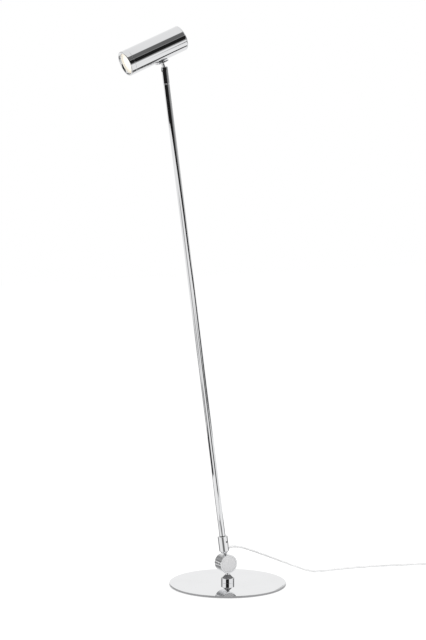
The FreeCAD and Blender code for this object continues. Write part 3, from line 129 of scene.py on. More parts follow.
class FloorLampStandSizes(bpy.types.PropertyGroup):
    """Sizes of the base, the hinge and the rod."""
    base_radius: length("Base radius", "Radius of the base plate", 0.125)
    base_bottom: length("Base underside", "Height of the plate's underside, on its foam ring", 0.001)
    base_top: length("Base top", "Height of the plate's top", 0.0055)
    base_bevel: length("Base bevel", "Width of the polished bevel round the top", 0.0008)
    hub_radius: length("Hub radius", "Radius of the block on the base", 0.0142)
    hub_height: length("Hub height", "Height of the block above the plate", 0.010)
    hub_shoulder: length("Hub shoulder", "Radius at the foot of the hub's cone", 0.0115)
    hub_cone: length("Hub cone", "Height of the hub's cone", 0.007)
    neck_radius: length("Neck radius", "Radius of the necks between hub, drum and ferrule", 0.004)
    hinge_height: length("Hinge height", "Height of the hinge's axis above the floor", 0.0457)
    drum_radius: length("Drum radius", "Radius of the hinge drum", 0.020)
    drum_front: length("Drum front", "Distance of the drum's front face from the base's middle", 0.0058)
    drum_seam: length("Drum seam", "Distance of the seam between the halves from the base's middle", 0.0046)
    face_radius: length("Face radius", "Radius of the brushed disc in the drum's front", 0.017)
    rod_plane: length("Rod plane", "How far the rod stands behind the middle of the base", 0.009)
    rod_lean: angle("Rod lean", "Angle of the rod from upright", 7.7)
    ferrule_radius: length("Ferrule radius", "Radius of the ferrule at the rod's foot", 0.0107)
    tube_radius: length("Tube radius", "Radius of the outer tube", 0.0065)
    tube_wall: length("Tube wall", "Wall thickness of both tubes", 0.001)
    tube_top: length("Tube top", "Distance along the rod of the outer tube's upper end", 1.0323)
    inner_radius: length("Inner tube radius", "Radius of the tube that slides", 0.00475)
    bush_top: length("Bush top", "Distance along the rod of the bush's upper face", 1.0337)
    tilt_pivot: length("Tilt pivot", "Distance along the rod of the head's pivot", 1.064)


class FloorLampHeadSizes(bpy.types.PropertyGroup):
    """Sizes of the spot head and of the lamp in it."""
    pitch: angle("Head pitch", "Angle of the head below level", 22.7)
    radius: length("Head radius", "Radius of the head's tube", 0.0265)
    length: length("Head length", "Length of the head", 0.139)
    stem_back: length("Stem place", "Distance of the stem from the head's front edge", 0.0784)
    axis_height: length("Axis height", "Height of the head's axis above its pivot", 0.044)
    bezel: length("Bezel length", "Length of the ring at the front", 0.0115)
    opening: length("Opening radius", "Radius of the opening in the bezel", 0.0207)
    lip: length("Lip depth", "Depth of the opening's wall", 0.006)
    edge: length("Bezel edge", "Radius of the bezel's outer edge", 0.0012)
    mouth: length("Mouth edge", "Radius of the bezel's edge round the opening", 0.0044)
    rear_edge: length("Rear edge", "Radius of the rear cap's rounded edge", 0.0024)
    rosette_radius: length("Rosette radius", "Radius of the disc between stem and head", 0.0145)
    lens_radius: length("Lens radius", "Radius of the lamp's lens", 0.022)
    lens_dome: length("Lens dome", "Height of the lens's dome", 0.0016)


class FloorLampCordSizes(bpy.types.PropertyGroup):
    """Sizes of the cord, its sleeve, its switch and its plug."""
    diameter: length("Cord diameter", "Diameter of the cord", 0.0042)
    length: length("Cord length", "Length of cord from the sleeve to the plug", 1.8205)
    sleeve_radius: length("Sleeve radius", "Radius of the sleeve where it leaves the ferrule", 0.0028)
    sleeve_length: length("Sleeve length", "Length of the tapered sleeve", 0.018)
    sleeve_droop: angle("Sleeve droop", "Angle that the sleeve bends over its length", 15.7)
    coil_radius: length("Coil inner radius", "Radius of the innermost turn of the stored cord", 0.017)
    coil_pitch: length("Coil pitch", "Distance between neighbouring turns and layers", 0.00485)
    switch_length: length("Switch length", "Length of the switch on the cord", 0.058)
    switch_width: length("Switch width", "Width of the switch", 0.024)
    switch_height: length("Switch height", "Height of the switch", 0.017)
    plug_width: length("Plug width", "Width of the plug", 0.035)
    plug_height: length("Plug height", "Height of the plug", 0.014)


class FloorLampColours(bpy.types.PropertyGroup):
    """Colours of the finishes."""
    chrome: colour("Chrome", "Tint of the polished chrome", 0.89, 0.895, 0.905)
    satin: colour("Satin chrome", "Tint of the brushed disc", 0.84, 0.84, 0.85)
    # Painted reflection: the plate's side is tinted dark to stand in for the shadowed floor that it mirrors.
    rim: colour("Plate rim", "Tint of the base plate's turned side", 0.40, 0.40, 0.41)
    # Painted reflection: the hub's cone is tinted dark to stand in for the hinge drum's dark underside
    # mirrored in it.
    cone: colour("Hub cone", "Tint of the hub's cone under the hinge", 0.20, 0.20, 0.205)
    zinc: colour("Zinc", "Tint of the zinc-plated fixings", 0.62, 0.62, 0.63)
    black_oxide: colour("Black oxide", "Colour of the set screws", 0.035, 0.035, 0.037)
    rubber: colour("Foam rubber", "Colour of the ring under the base", 0.05, 0.05, 0.052)
    nylon: colour("Nylon", "Colour of the bushes and washers", 0.05, 0.05, 0.05)
    sheath: colour("Cord sheath", "Colour of the clear sheath over its cores", 0.93, 0.93, 0.935)
    cores: colour("Cord cores", "Colour of the cores seen through the sheath", 0.82, 0.822, 0.826)
    flex: colour("Inner flex", "Colour of the sleeved wires inside the lamp", 0.80, 0.80, 0.78)
    plastic: colour("Pale plastic", "Colour of the switch and the plug", 0.82, 0.82, 0.81)
    rocker: colour("Rocker", "Colour of the switch's rocker", 0.74, 0.74, 0.74)
    brass: colour("Nickel brass", "Tint of the pins and contacts", 0.80, 0.72, 0.50)
    lamp_body: colour("Lamp body", "Colour of the lamp's body", 0.88, 0.86, 0.82)
    ceramic: colour("Ceramic", "Colour of the lampholder", 0.86, 0.83, 0.76)
    silicone: colour("Silicone", "Colour of the gasket", 0.80, 0.78, 0.74)
    glow: colour("Lamp light", "Colour of the lit lens", 1.0, 0.92, 0.78)


class FloorLampStage(bpy.types.PropertyGroup):
    """Studio settings."""
    floor: colour("Floor", "Colour of the floor and the backdrop", 1.0, 1.0, 1.0)
    fill: plain("Fill light", "Level of the even light from all round", 0.72)
    key: plain("Key light", "Power of the large soft lamp, in watts", 42.0)
    side: plain("Side light", "Power of the soft lamp from the side, in watts", 18.0)
    glow: plain("Lamp strength", "Strength of the lit lens", 1.0)
    segments: IntProperty(name="Segments", description="Faces round a turned surface", default=160, min=24,
                          max=512)


GROUPS = {"floor_lamp_stand": FloorLampStandSizes, "floor_lamp_head": FloorLampHeadSizes,
          "floor_lamp_cord": FloorLampCordSizes, "floor_lamp_colours": FloorLampColours,
          "floor_lamp_stage": FloorLampStage}


# ------------------------------------------------------------------ places
class Place:
    """Where a piece is drawn: an origin and the directions of its own X, Y and Z, in the lamp's frame."""

    def __init__(self, origin, x, y, z):
        self.origin = np.array(origin, float)
        self.axes = np.array([x, y, z], float)

    def put(self, points):
        """Points of the piece's own frame in the lamp's frame."""
        return self.origin + np.asarray(points, float) @ self.axes


def upright_place(origin=(0, 0, 0), heading=0.0):
    """Level place, turned about Z by a heading."""
    c, s = math.cos(heading), math.sin(heading)
    return Place(origin, (c, s, 0), (-s, c, 0), (0, 0, 1))


def drum_place(stand):
    """Z is the hinge's axis, towards +Y."""
    return Place((0, 0, stand.hinge_height), (1, 0, 0), (0, 0, -1), (0, 1, 0))


def leaning_place(origin, lean):
    """Z leans from upright towards -X by an angle, and Y stays level."""
    c, s = math.cos(lean), math.sin(lean)
    return Place(origin, (c, 0, s), (0, 1, 0), (-s, 0, c))


def rod_place(stand):
    """Z runs up the rod from the hinge's axis, X points out on the cord's side."""
    return leaning_place((0, stand.rod_plane, stand.hinge_height), stand.rod_lean)


def stem_place(stand, head):
    """Origin at the tilt pivot, Z up the stem, X towards the head's back."""
    return leaning_place(rod_place(stand).put((0, 0, stand.tilt_pivot)), head.pitch)


def head_place(stand, head):
    """Z runs back along the head's axis from its front edge."""
    stem = stem_place(stand, head)
    x, y, z = stem.axes
    return Place(stem.put((-head.stem_back, 0, head.axis_height)), -z, y, x)


# ------------------------------------------------------------------ surfaces
SQUARE = ((-1, -1), (1, -1), (1, 1), (-1, 1))


def rounded(corners, steps=5):
    """Outline through corners given as (x, y, edge radius).

    A corner with a radius gives way to the arc of that radius that touches both of its sides; a point of
    the arc is the circle's centre plus the two end spokes weighted by the sines of the angles left."""
    corners = np.array(corners, float)
    points = corners[:, :2]
    pieces = []
    for k, (corner, radius) in enumerate(zip(points, corners[:, 2])):
        if radius == 0:
            pieces.append(corner[None])
            continue
        to_last, to_next = points[k - 1] - corner, points[(k + 1) % len(points)] - corner
        to_last, to_next = to_last / np.linalg.norm(to_last), to_next / np.linalg.norm(to_next)
        half = 0.5 * math.acos(np.clip(to_last @ to_next, -1, 1))
        both = to_last + to_next
        centre = corner + both / np.linalg.norm(both) * radius / math.sin(half)
        first = corner + to_last * radius / math.tan(half) - centre
        last = corner + to_next * radius / math.tan(half) - centre
        turn = math.pi - 2 * half
        share = np.linspace(0, 1, steps + 1)[:, None]
        pieces.append(centre + (np.sin((1 - share) * turn) * first + np.sin(share * turn) * last)
                      / math.sin(turn))
    return np.concatenate(pieces)


def weighted_normals(points, faces):
    """Vertex normals: the sum of the neighbouring faces' normals, each as long as its face is large.

    Large flat or round faces keep their own shading, and only the narrow rounded edges turn."""
    total = np.zeros_like(points)
    for group in faces:
        if len(group):
            across = points[group[:, 2]] - points[group[:, 0]]
            along = points[group[:, -1]] - points[group[:, 1]]
            normal = np.cross(across, along)
            for corner in group.T:
                np.add.at(total, corner, normal)
    size = np.linalg.norm(total, axis=1, keepdims=True)
    return total / np.where(size > 0, size, 1)


def enclosed(points, faces):
    """Volume inside a closed mesh: the sum of the signed tetrahedra from the origin to each triangle."""
    volume = 0.0
    for group in faces:
        for k in range(1, group.shape[1] - 1):
            a, b, c = points[group[:, 0]], points[group[:, k]], points[group[:, k + 1]]
            volume += np.einsum("ij,ij->", a, np.cross(b, c)) / 6
    return volume


def link(name, data):
    """A new object of some data, in the scene."""
    thing = bpy.data.objects.new(name, data)
    bpy.context.scene.collection.objects.link(thing)
    return thing


def new_piece(name, points, faces, material, runs=None, crisp=True):
    """Mesh object of points and groups of faces, turned outwards, smooth, with its material.

    runs gives each face corner's place (along, round) for a pattern that follows the surface.  A crisp
    piece is shaded by its large faces."""
    faces = [np.asarray(group) for group in faces if len(group)]
    if enclosed(points, faces) < 0:
        faces = [group[:, ::-1] for group in faces]
        runs = None if runs is None else [group[:, ::-1] for group in runs]
    mesh = bpy.data.meshes.new(name)
    mesh.from_pydata(points.tolist(), [], [row for group in faces for row in group.tolist()])
    if runs is not None:
        layer = mesh.uv_layers.new(name="run")
        layer.data.foreach_set("uv", np.concatenate([group.reshape(-1, 2) for group in runs]).ravel())
    mesh.polygons.foreach_set("use_smooth", np.ones(len(mesh.polygons), bool))
    mesh.update()
    if crisp:
        mesh.normals_split_custom_set_from_vertices(weighted_normals(points, faces).tolist())
    mesh.materials.append(material)
    return link(name, mesh)


def grid_faces(rows, columns, wrap=False, rings=True):
    """Quads of a grid: each row is a ring unless told otherwise, and rows that wrap close up as well."""
    i = np.arange(rows if wrap else rows - 1)[:, None]
    j = np.arange(columns if rings else columns - 1)[None]
    up, right = (i + 1) % rows, (j + 1) % columns
    return np.stack([i * columns + j, i * columns + right, up * columns + right, up * columns + j],
                    -1).reshape(-1, 4)


def skinned(rings, closed=False):
    """Points and faces of a closed skin over rings of equal count.

    The rings close on each other, or else each end is closed by a fan to the middle of its ring."""
    if closed:
        return rings.reshape(-1, 3), [grid_faces(rings.shape[0], rings.shape[1], True)]
    poles = rings[[0, -1]].mean(axis=1)
    flat = np.ptp(rings[[0, -1]], axis=1).max(axis=1) < 1e-9
    rings = rings[int(flat[0]):len(rings) - int(flat[1])]
    rows, columns = rings.shape[:2]
    points = np.concatenate([rings.reshape(-1, 3), poles])
    j = np.arange(columns)
    right = (j + 1) % columns
    start_pole, end_pole = rows * columns, rows * columns + 1
    top = (rows - 1) * columns
    fans = np.concatenate([np.stack([right, j, np.full(columns, start_pole)], -1),
                           np.stack([top + j, top + right, np.full(columns, end_pole)], -1)])
    return points, [grid_faces(rows, columns), fans]


def turned(name, body, node, corners, place, key="polished_chrome", material=None, closed=False, steps=5,
           segments=None):
    """Surface of revolution, as a piece on a body that stands for a CAD node.

    Each point of the rounded profile (radius, height) swings round the Z axis."""
    profile = rounded(corners, steps)
    count = segments or bpy.context.scene.floor_lamp_stage.segments
    turn = np.linspace(0, 2 * math.pi, count, endpoint=False)
    radius, height = profile[:, :1], profile[:, 1:]
    rings = np.stack([radius * np.cos(turn), radius * np.sin(turn), height + 0 * turn], -1)
    built(name, body, node, place.put(rings), key, closed, material)


def swept(name, path, radii, finish, across=None, segments=24):
    """Round tube of varying radius along a path.

    At each point the circle stands in the plane of a sideways and an upward spoke: sideways is level, or
    the direction given, and upward is square to it and to the path."""
    path = np.asarray(path, float)
    way = np.gradient(path, axis=0)
    way /= np.linalg.norm(way, axis=1, keepdims=True)
    side = np.cross(way, (0, 0, 1.0)) if across is None else np.broadcast_to(across, way.shape)
    side = side / np.linalg.norm(side, axis=1, keepdims=True)
    upward = np.cross(side, way)
    turn = np.linspace(0, 2 * math.pi, segments, endpoint=False)[None, :, None]
    radii = np.broadcast_to(radii, len(path))[:, None, None]
    rings = path[:, None] + radii * (np.cos(turn) * side[:, None] + np.sin(turn) * upward[:, None])
    points, faces = skinned(rings)
    along = np.concatenate([[0], np.cumsum(np.linalg.norm(np.diff(path, axis=0), axis=1))])
    rows, columns = len(path), segments
    i, j = np.arange(rows - 1)[:, None], np.arange(columns)[None]
    low, high = along[i] + 0 * j, along[i + 1] + 0 * j
    here, there = j / columns + 0 * i, (j + 1) / columns + 0 * i
    quads = np.stack([np.stack(pair, -1) for pair in ((low, here), (low, there), (high, there),
                                                      (high, here))], 2).reshape(-1, 4, 2)
    fans = np.zeros((2 * columns, 3, 2))
    fans[columns:, :, 0] = along[-1]
    return new_piece(name, points, faces, finish, [quads, fans], crisp=False)


def drawn_in(outline, inset):
    """A closed outline moved inwards by an inset, each point square to the line through its neighbours."""
    way = np.roll(outline, -1, 0) - np.roll(outline, 1, 0)
    way = way / np.linalg.norm(way, axis=1, keepdims=True)
    return outline + inset * np.stack([-way[:, 1], way[:, 0]], -1)


def reach(outline, angles, centre=(0, 0)):
    """Points where rays at some angles from a centre leave a closed outline that the centre sees all of."""
    start = outline - np.asarray(centre, float)
    side = np.roll(start, -1, 0) - start
    ray = np.stack([np.cos(angles), np.sin(angles)], -1)

    def cross(a, b):
        return a[..., 0] * b[..., 1] - a[..., 1] * b[..., 0]

    with np.errstate(divide="ignore", invalid="ignore"):
        spread = cross(ray[:, None], side[None])
        distance = cross(start, side)[None] / spread
        share = cross(start[None], ray[:, None]) / spread
    hit = (distance > 0) & (share > -1e-9) & (share < 1 + 1e-9)
    radius = np.where(hit, distance, np.inf).min(axis=1)
    return radius[:, None] * ray + np.asarray(centre, float)


def outline_angles(centre, *outlines):
    """Angles, seen from a centre, of all the points of some outlines, with none closer than a hair."""
    angles = np.sort(np.concatenate([np.arctan2(*(o - np.asarray(centre))[:, ::-1].T) for o in outlines]))
    return angles[np.concatenate([[True], np.diff(angles) > 1e-4])]


def quarter(radius, steps=5):
    """(inset, rise) pairs round a quarter circle, from under a wall's rounded foot up to the wall."""
    turn = np.linspace(0, math.pi / 2, steps + 1)
    return radius * np.stack([1 - np.sin(turn), 1 - np.cos(turn)], -1)


def rounded_edge(radius, low, high):
    """(inset, height) pairs up a wall: round its lower edge, then round its upper edge."""
    foot = quarter(radius)
    return np.concatenate([foot + (0, low), foot[::-1] * (1, -1) + (0, high)])


def level(outline, height):
    """A flat outline laid level at a height."""
    return np.column_stack([outline, np.full(len(outline), height)])


def stood(outline, distance):
    """A flat outline stood across the X axis at a distance."""
    return np.column_stack([np.full(len(outline), distance), outline])


# ------------------------------------------------------------------ materials
class Signal:
    """A node's output that adds and multiplies as a number, vector or colour does."""

    def __init__(self, nodes, socket):
        self.nodes = nodes
        self.socket = socket

    def join(self, operation, other):
        """This output and another value through the node that suits its kind."""
        if self.socket.type == "RGBA":
            return self.nodes.make("ShaderNodeMix", {"data_type": "RGBA", "blend_type": operation},
                                   {0: 1.0, 6: self, 7: other}, 2)
        kind = "ShaderNodeVectorMath" if self.socket.type == "VECTOR" else "ShaderNodeMath"
        return self.nodes.make(kind, {"operation": operation}, {0: self, 1: other})

    def __add__(self, other):
        return self.join("ADD", other)

    def __mul__(self, other):
        return self.join("MULTIPLY", other)

    def to(self, low, high, soft=False, out=(0.0, 1.0)):
        """This number as it goes from low to high, as a share from 0 to 1 or over another range."""
        settings = {"interpolation_type": "SMOOTHSTEP" if soft else "LINEAR"}
        return self.nodes.make("ShaderNodeMapRange", settings, {0: self, 1: low, 2: high, 3: out[0],
                                                                4: out[1]})

    def window(self, low, high, soft):
        """1 where this number lies from low to high and 0 outside, with steps of a soft half width."""
        return self.to(low - soft, low + soft, True) * self.to(high + soft, high - soft, True)

    def colour(self):
        """This number as a grey colour."""
        return self.nodes.make("ShaderNodeCombineColor", inputs={0: self, 1: self, 2: self})

    def between(self, first, second):
        """A blend from one number or colour to another as this share goes from 0 to 1."""
        if isinstance(first, (tuple, list)) or getattr(getattr(first, "socket", None), "type", "") == "RGBA":
            return self.nodes.make("ShaderNodeMix", {"data_type": "RGBA"}, {0: self, 6: first, 7: second}, 2)
        return self.nodes.make("ShaderNodeMix", {"data_type": "FLOAT"}, {0: self, 2: first, 3: second}, 0)


class Nodes:
    """The nodes of a material or a world, built from Signals."""

    def __init__(self, owner):
        owner.use_nodes = True
        self.tree = owner.node_tree
        self.tree.nodes.clear()

    def make(self, kind, settings=None, inputs=None, output=0):
        """A new node of a kind, with settings and inputs, and one of its outputs as a Signal."""
        node = self.tree.nodes.new(kind)
        for key, value in (settings or {}).items():
            setattr(node, key, value)
        for key, value in (inputs or {}).items():
            socket = node.inputs[key]
            if isinstance(value, Signal):
                self.tree.links.new(value.socket, socket)
            elif socket.type == "RGBA":
                socket.default_value = (*value, 1.0)
            else:
                socket.default_value = value
        return Signal(self, node.outputs[output]) if node.outputs else node

    def maths(self, operation, *numbers):
        """A number worked out from others."""
        return self.make("ShaderNodeMath", {"operation": operation}, dict(enumerate(numbers)))

    def measure(self, operation, *vectors):
        """A number measured on one or two vectors, such as a length."""
        return self.make("ShaderNodeVectorMath", {"operation": operation}, dict(enumerate(vectors)), "Value")

    def parts(self, vector):
        """The X, Y and Z of a vector."""
        first = self.make("ShaderNodeSeparateXYZ", inputs={0: vector})
        return [Signal(self, socket) for socket in first.socket.node.outputs]

    def rays(self, *kinds):
        """For each kind of ray, 1 where such a ray looks and 0 elsewhere."""
        return [self.make("ShaderNodeLightPath", output=f"Is {kind} Ray") for kind in kinds]

    def point(self):
        """Position on the object."""
        return self.make("ShaderNodeTexCoord", output="Object")

    def place(self, stretch=(1, 1, 1)):
        """Position on the object, stretched along each axis."""
        return self.make("ShaderNodeMapping", inputs={"Vector": self.point(), "Scale": stretch})

    def noise(self, scale, detail=3.0, stretch=(1, 1, 1), roughness=0.5):
        """Cloudy variation from 0 to 1."""
        return self.make("ShaderNodeTexNoise", inputs={
            "Vector": self.place(stretch), "Scale": scale, "Detail": detail, "Roughness": roughness})

    def cells(self, scale):
        """Distance from the middle of the nearest of many small cells."""
        return self.make("ShaderNodeTexVoronoi", inputs={"Vector": self.place(), "Scale": scale})

    def bump(self, height, strength, distance):
        """Normal of a surface whose height varies."""
        return self.make("ShaderNodeBump", inputs={"Height": height, "Strength": strength,
                                                   "Distance": distance})

    def shine(self, tint, strength):
        """Surface that gives light of its own."""
        return self.make("ShaderNodeEmission", inputs={"Color": tint, "Strength": strength})

    def mixed(self, share, first, second):
        """One surface that gives way to another as the share goes from 0 to 1."""
        return self.make("ShaderNodeMixShader", inputs={0: share, 1: first, 2: second})

    def show(self, surface, owner="Material"):
        """The surface that the material, or the world, shows."""
        self.make(f"ShaderNodeOutput{owner}", inputs={"Surface": surface})


def finish(name, tint, constant, vary):
    """Material with one main shader: its constant sockets as given, the varying ones from vary(nodes)."""
    material = bpy.data.materials.new(name)
    nodes = Nodes(material)
    inputs = {"Base Color": tuple(tint), **constant, **vary(nodes)}
    nodes.show(nodes.make("ShaderNodeBsdfPrincipled", inputs=inputs))
    material.diffuse_color = (*tint, 1.0)
    return material


def shade(tint, factor):
    """A tint made lighter or darker."""
    return tuple(min(1.0, c * factor) for c in tint)


METAL = {"Metallic": 1.0}
# Half width of the edge of a darker band of painted reflection on chrome, and how dull the band is.
PAINTED_BAND_EDGE = 0.0002
PAINTED_BAND_ROUGHNESS = 0.3
# Length of cord in which its two cores twist once round each other.
CORE_TWIST = 0.030


def handled_chrome(nodes, tint):
    """Colour, roughness and normal of chrome that is faintly wavy and a little dull where it was handled."""
    handled = nodes.noise(14.0, 4.0).to(0.42, 0.75, True)
    return (handled.between(tuple(tint), shade(tint, 0.975)), handled.to(0, 1, out=(0.022, 0.05)),
            nodes.bump(nodes.noise(30.0, 1.0), 0.05, 0.0004))


def polished_chrome(tint):
    """Mirror chrome with fine scuffs."""
    def vary(nodes):
        surface, dull, waves = handled_chrome(nodes, tint)
        fine = nodes.noise(420.0, 2.0).to(0.3, 0.8, True)
        return {"Base Color": surface, "Roughness": dull + fine * 0.012, "Normal": waves}
    return finish("polished_chrome", tint, METAL, vary)


def chrome_with_painted_band(name, tint, other, inner, low, high):
    """Mirror chrome with a darker, duller band, its darker tint a painted reflection: outside a radius and
    between two heights.
    """
    def vary(nodes):
        surface, dull, waves = handled_chrome(nodes, tint)
        where = nodes.point()
        out = nodes.measure("LENGTH", where * (1, 1, 0))
        # The band's darker tint is painted reflection, standing in for dark surroundings mirrored there.
        band = (out.to(inner - PAINTED_BAND_EDGE, inner + PAINTED_BAND_EDGE, True)
                * nodes.parts(where)[2].window(low, high, PAINTED_BAND_EDGE))
        return {"Base Color": band.between(surface, tuple(other)),
                "Roughness": band.between(dull, PAINTED_BAND_ROUGHNESS), "Normal": waves}
    return finish(name, tint, METAL, vary)


def brushed_chrome(tint):
    """Satin disc with fine upright brush lines."""
    def vary(nodes):
        lines = nodes.noise(60.0, 4.0, (60.0, 1.0, 2.5), 0.7)
        broad = nodes.noise(90.0, 2.0, (3.0, 1.0, 0.6))
        strength = lines * 0.55 + broad * 0.45
        return {"Base Color": strength.to(0.3, 0.7).between(shade(tint, 0.88), shade(tint, 1.06)),
                "Roughness": lines.to(0.3, 0.7, out=(0.2, 0.32)),
                "Normal": nodes.bump(lines, 0.25, 0.00005)}
    return finish("brushed_chrome", tint, METAL, vary)


def plated(name, tint, roughness, grain=300.0):
    """Plated or blackened metal with fine tool marks and darker spots."""
    def vary(nodes):
        spots = nodes.noise(grain, 4.0).to(0.35, 0.75, True)
        return {"Base Color": spots.between(shade(tint, 1.08), shade(tint, 0.8)),
                "Roughness": spots.to(0, 1, out=(roughness, roughness + 0.14)),
                "Normal": nodes.bump(nodes.noise(grain * 4, 2.0), 0.12, 0.00005)}
    return finish(name, tint, METAL, vary)


def moulded(name, tint, roughness, grain=900.0, depth=0.00004, coat=0.0):
    """Moulded plastic, rubber or ceramic: cloudy tint, fine grain in the surface, uneven sheen."""
    def vary(nodes):
        cloud = nodes.noise(45.0, 3.0)
        skin = nodes.noise(grain, 3.0, roughness=0.6)
        return {"Base Color": cloud.to(0.3, 0.7).between(shade(tint, 0.95), shade(tint, 1.05)),
                "Roughness": skin.to(0.3, 0.7, out=(roughness - 0.06, roughness + 0.08)),
                "Normal": nodes.bump(skin, 0.4, depth)}
    return finish(name, tint, {"Coat Weight": coat, "Coat Roughness": 0.08}, vary)


def foam(tint):
    """Foam rubber: open pores over a dull black skin, each pore's sunken middle darkened by painted shade.
    """
    def vary(nodes):
        pores = nodes.cells(900.0)
        # Painted shade: the colour darkens towards each pore's sunken middle, where the bump is lowest.
        return {"Base Color": pores.to(0.1, 0.6).between(shade(tint, 0.5), shade(tint, 1.3)),
                "Roughness": pores.to(0, 0.7, out=(0.95, 0.8)),
                "Normal": nodes.bump(pores, 0.7, 0.0003)}
    return finish("foam_rubber", tint, {}, vary)


def clear_sheath(sheath, cores):
    """Clear glossy sheath: two twisted cores show as soft slanting bands under the surface."""
    def vary(nodes):
        along, around, _ = nodes.parts(nodes.make("ShaderNodeUVMap", {"uv_map": "run"}))
        phase = around * (4 * math.pi) + along * (2 * math.pi / CORE_TWIST)
        band = nodes.maths("SINE", phase).to(-0.5, 0.9, True)
        return {"Base Color": band.between(tuple(cores), tuple(sheath)),
                "Roughness": nodes.noise(160.0, 3.0).to(0.3, 0.7, out=(0.16, 0.34)),
                "Normal": nodes.bump(nodes.noise(700.0, 2.0), 0.15, 0.00004)}
    return finish("clear_sheath", sheath, {"Coat Weight": 0.4, "Coat Roughness": 0.12}, vary)


def lit_lens(tint, strength, centre, radius):
    """Frosted lens of a lit lamp: fine pebbles in the glass, brightest round its middle."""
    glass, middle_tint = (0.30, 0.29, 0.26), (1.0, 0.97, 0.90)

    def vary(nodes):
        out = nodes.measure("DISTANCE", nodes.point(), tuple(centre))
        pebbles = nodes.cells(420.0)
        strong = out.to(0.35 * radius, radius, True, (1.0, 0.75)) * pebbles.to(0, 0.8, out=(1.04, 0.9))
        tinted = out.to(0.2 * radius, radius).between(middle_tint, tuple(tint))
        return {"Emission Color": tinted * strong.colour(),
                "Roughness": pebbles.to(0, 0.8, out=(0.25, 0.4)),
                "Normal": nodes.bump(pebbles, 0.5, 0.0003)}
    return finish("lit_lens", glass, {"Emission Strength": strength}, vary)


FINISHES = {}


def finish_of(key):
    """The material of a finish, made the first time it is asked for."""
    if key not in FINISHES:
        c = bpy.context.scene.floor_lamp_colours
        make = {
            "polished_chrome": lambda: polished_chrome(c.chrome),
            "brushed_face": lambda: brushed_chrome(c.satin),
            "foam_pad": lambda: foam(c.rubber),
            "zinc_steel": lambda: plated("zinc_plate", c.zinc, 0.3),
            "black_steel": lambda: plated("black_oxide", c.black_oxide, 0.35, 700.0),
            "black_nylon": lambda: moulded("black_nylon", c.nylon, 0.5),
            "clear_cord": lambda: clear_sheath(c.sheath, c.cores),
            "inner_flex": lambda: moulded("sleeved_flex", c.flex, 0.45),
            "pale_plastic": lambda: moulded("pale_plastic", c.plastic, 0.32, coat=0.2),
            "rocker_plastic": lambda: moulded("rocker_plastic", c.rocker, 0.24, 1400.0, 0.00002, coat=0.3),
            "brass": lambda: plated("nickel_brass", c.brass, 0.2, 500.0),
            "lamp_white": lambda: moulded("lamp_body", c.lamp_body, 0.35),
            "ceramic": lambda: moulded("ceramic", c.ceramic, 0.55, 1200.0),
            "silicone": lambda: moulded("silicone", c.silicone, 0.55),
        }[key]
        FINISHES[key] = make()
    return FINISHES[key]


def settle(piece, body, node):
    """A finished piece rides on a body and stands for a CAD node, which is hidden."""
    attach(piece, body)
    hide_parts(node)


def built(name, body, node, rings, key, closed=False, material=None):
    """Piece skinned over rings, settled, in the finish of its slot or a material of its own."""
    piece = new_piece(name, *skinned(rings, closed), material or finish_of(key))
    settle(piece, body, node)


def groups(scene):
    """The scene's settings: stand, head and cord sizes, and the stage."""
    return scene.floor_lamp_stand, scene.floor_lamp_head, scene.floor_lamp_cord, scene.floor_lamp_stage


# ------------------------------------------------------------------ cord
# Height of the cord's middle where it lies on the floor.
CORD_HEIGHT = 0.00215
# The cord's way from its sleeve to the switch.
LEAD_POINTS = [
    (0.034, 0.0092, 0.0776), (0.050, 0.0096, 0.0722), (0.075, 0.0102, 0.0620), (0.110, 0.011, 0.0470),
    (0.155, 0.012, 0.0270), (0.200, 0.013, 0.0078), (0.226, 0.0136, CORD_HEIGHT),
    (0.260, 0.0132, CORD_HEIGHT), (0.306, 0.0104, CORD_HEIGHT), (0.352, 0.0042, CORD_HEIGHT),
    (0.398, -0.006, CORD_HEIGHT), (0.440, -0.0186, CORD_HEIGHT), (0.475, -0.0302, CORD_HEIGHT),
]
# Distance along the rod at which the sleeve leaves the ferrule.
SLEEVE_SEAT = 0.0325
SWITCH_START = (0.508, -0.041)
SWITCH_HEADING = math.radians(-18.0)
# From the switch's far end to the coil's middle, along the switch.
SWITCH_TO_COIL = 0.046
TURNS_PER_LAYER = 3.5
POINTS_PER_TURN = 16
# Steps back from the coil's last point and to its left: where the cord comes down, and where it lies again.
COMING_DOWN = (0.014, 0.0009)
LYING_AGAIN = (0.032, 0.002)
# How much the cord turns off to the left on its last stretch, as a share of its way.
PLUG_DRIFT = 0.05
# Gap between pieces that would otherwise touch.
PIECE_GAP = 0.00005


def coil_points(cord, begin, ahead, leftward):
    """Control points of the stored coil.

    Round the coil's middle the radius shrinks by a pitch a turn along the floor, the cord climbs one pitch
    in the half turn where it reverses, and the radius grows again on top.  The spline runs inside its
    control points, so they stand a little further out."""
    turns = 2 * TURNS_PER_LAYER + 0.5
    turn = np.linspace(0, turns, int(turns * POINTS_PER_TURN) + 1)
    outer = cord.coil_radius + cord.coil_pitch * TURNS_PER_LAYER
    climb = np.clip((turn - TURNS_PER_LAYER) / 0.5, 0, 1)
    radius = np.where(turn < TURNS_PER_LAYER, outer - cord.coil_pitch * turn,
                      cord.coil_radius + cord.coil_pitch * (turn - TURNS_PER_LAYER - 0.5))
    radius = np.where((climb > 0) & (climb < 1),
                      cord.coil_radius - cord.coil_pitch * 0.5 * climb * (1 - climb), radius)
    rise = cord.coil_pitch * (climb - np.sin(2 * math.pi * climb) / (2 * math.pi))
    angle = SWITCH_HEADING - math.pi / 2 + 2 * math.pi * turn
    centre = begin + ahead * SWITCH_TO_COIL + leftward * outer
    spread = radius / (0.75 + 0.25 * math.cos(2 * math.pi / POINTS_PER_TURN))
    return np.stack([centre[0] + spread * np.cos(angle), centre[1] + spread * np.sin(angle),
                     CORD_HEIGHT + rise], -1)


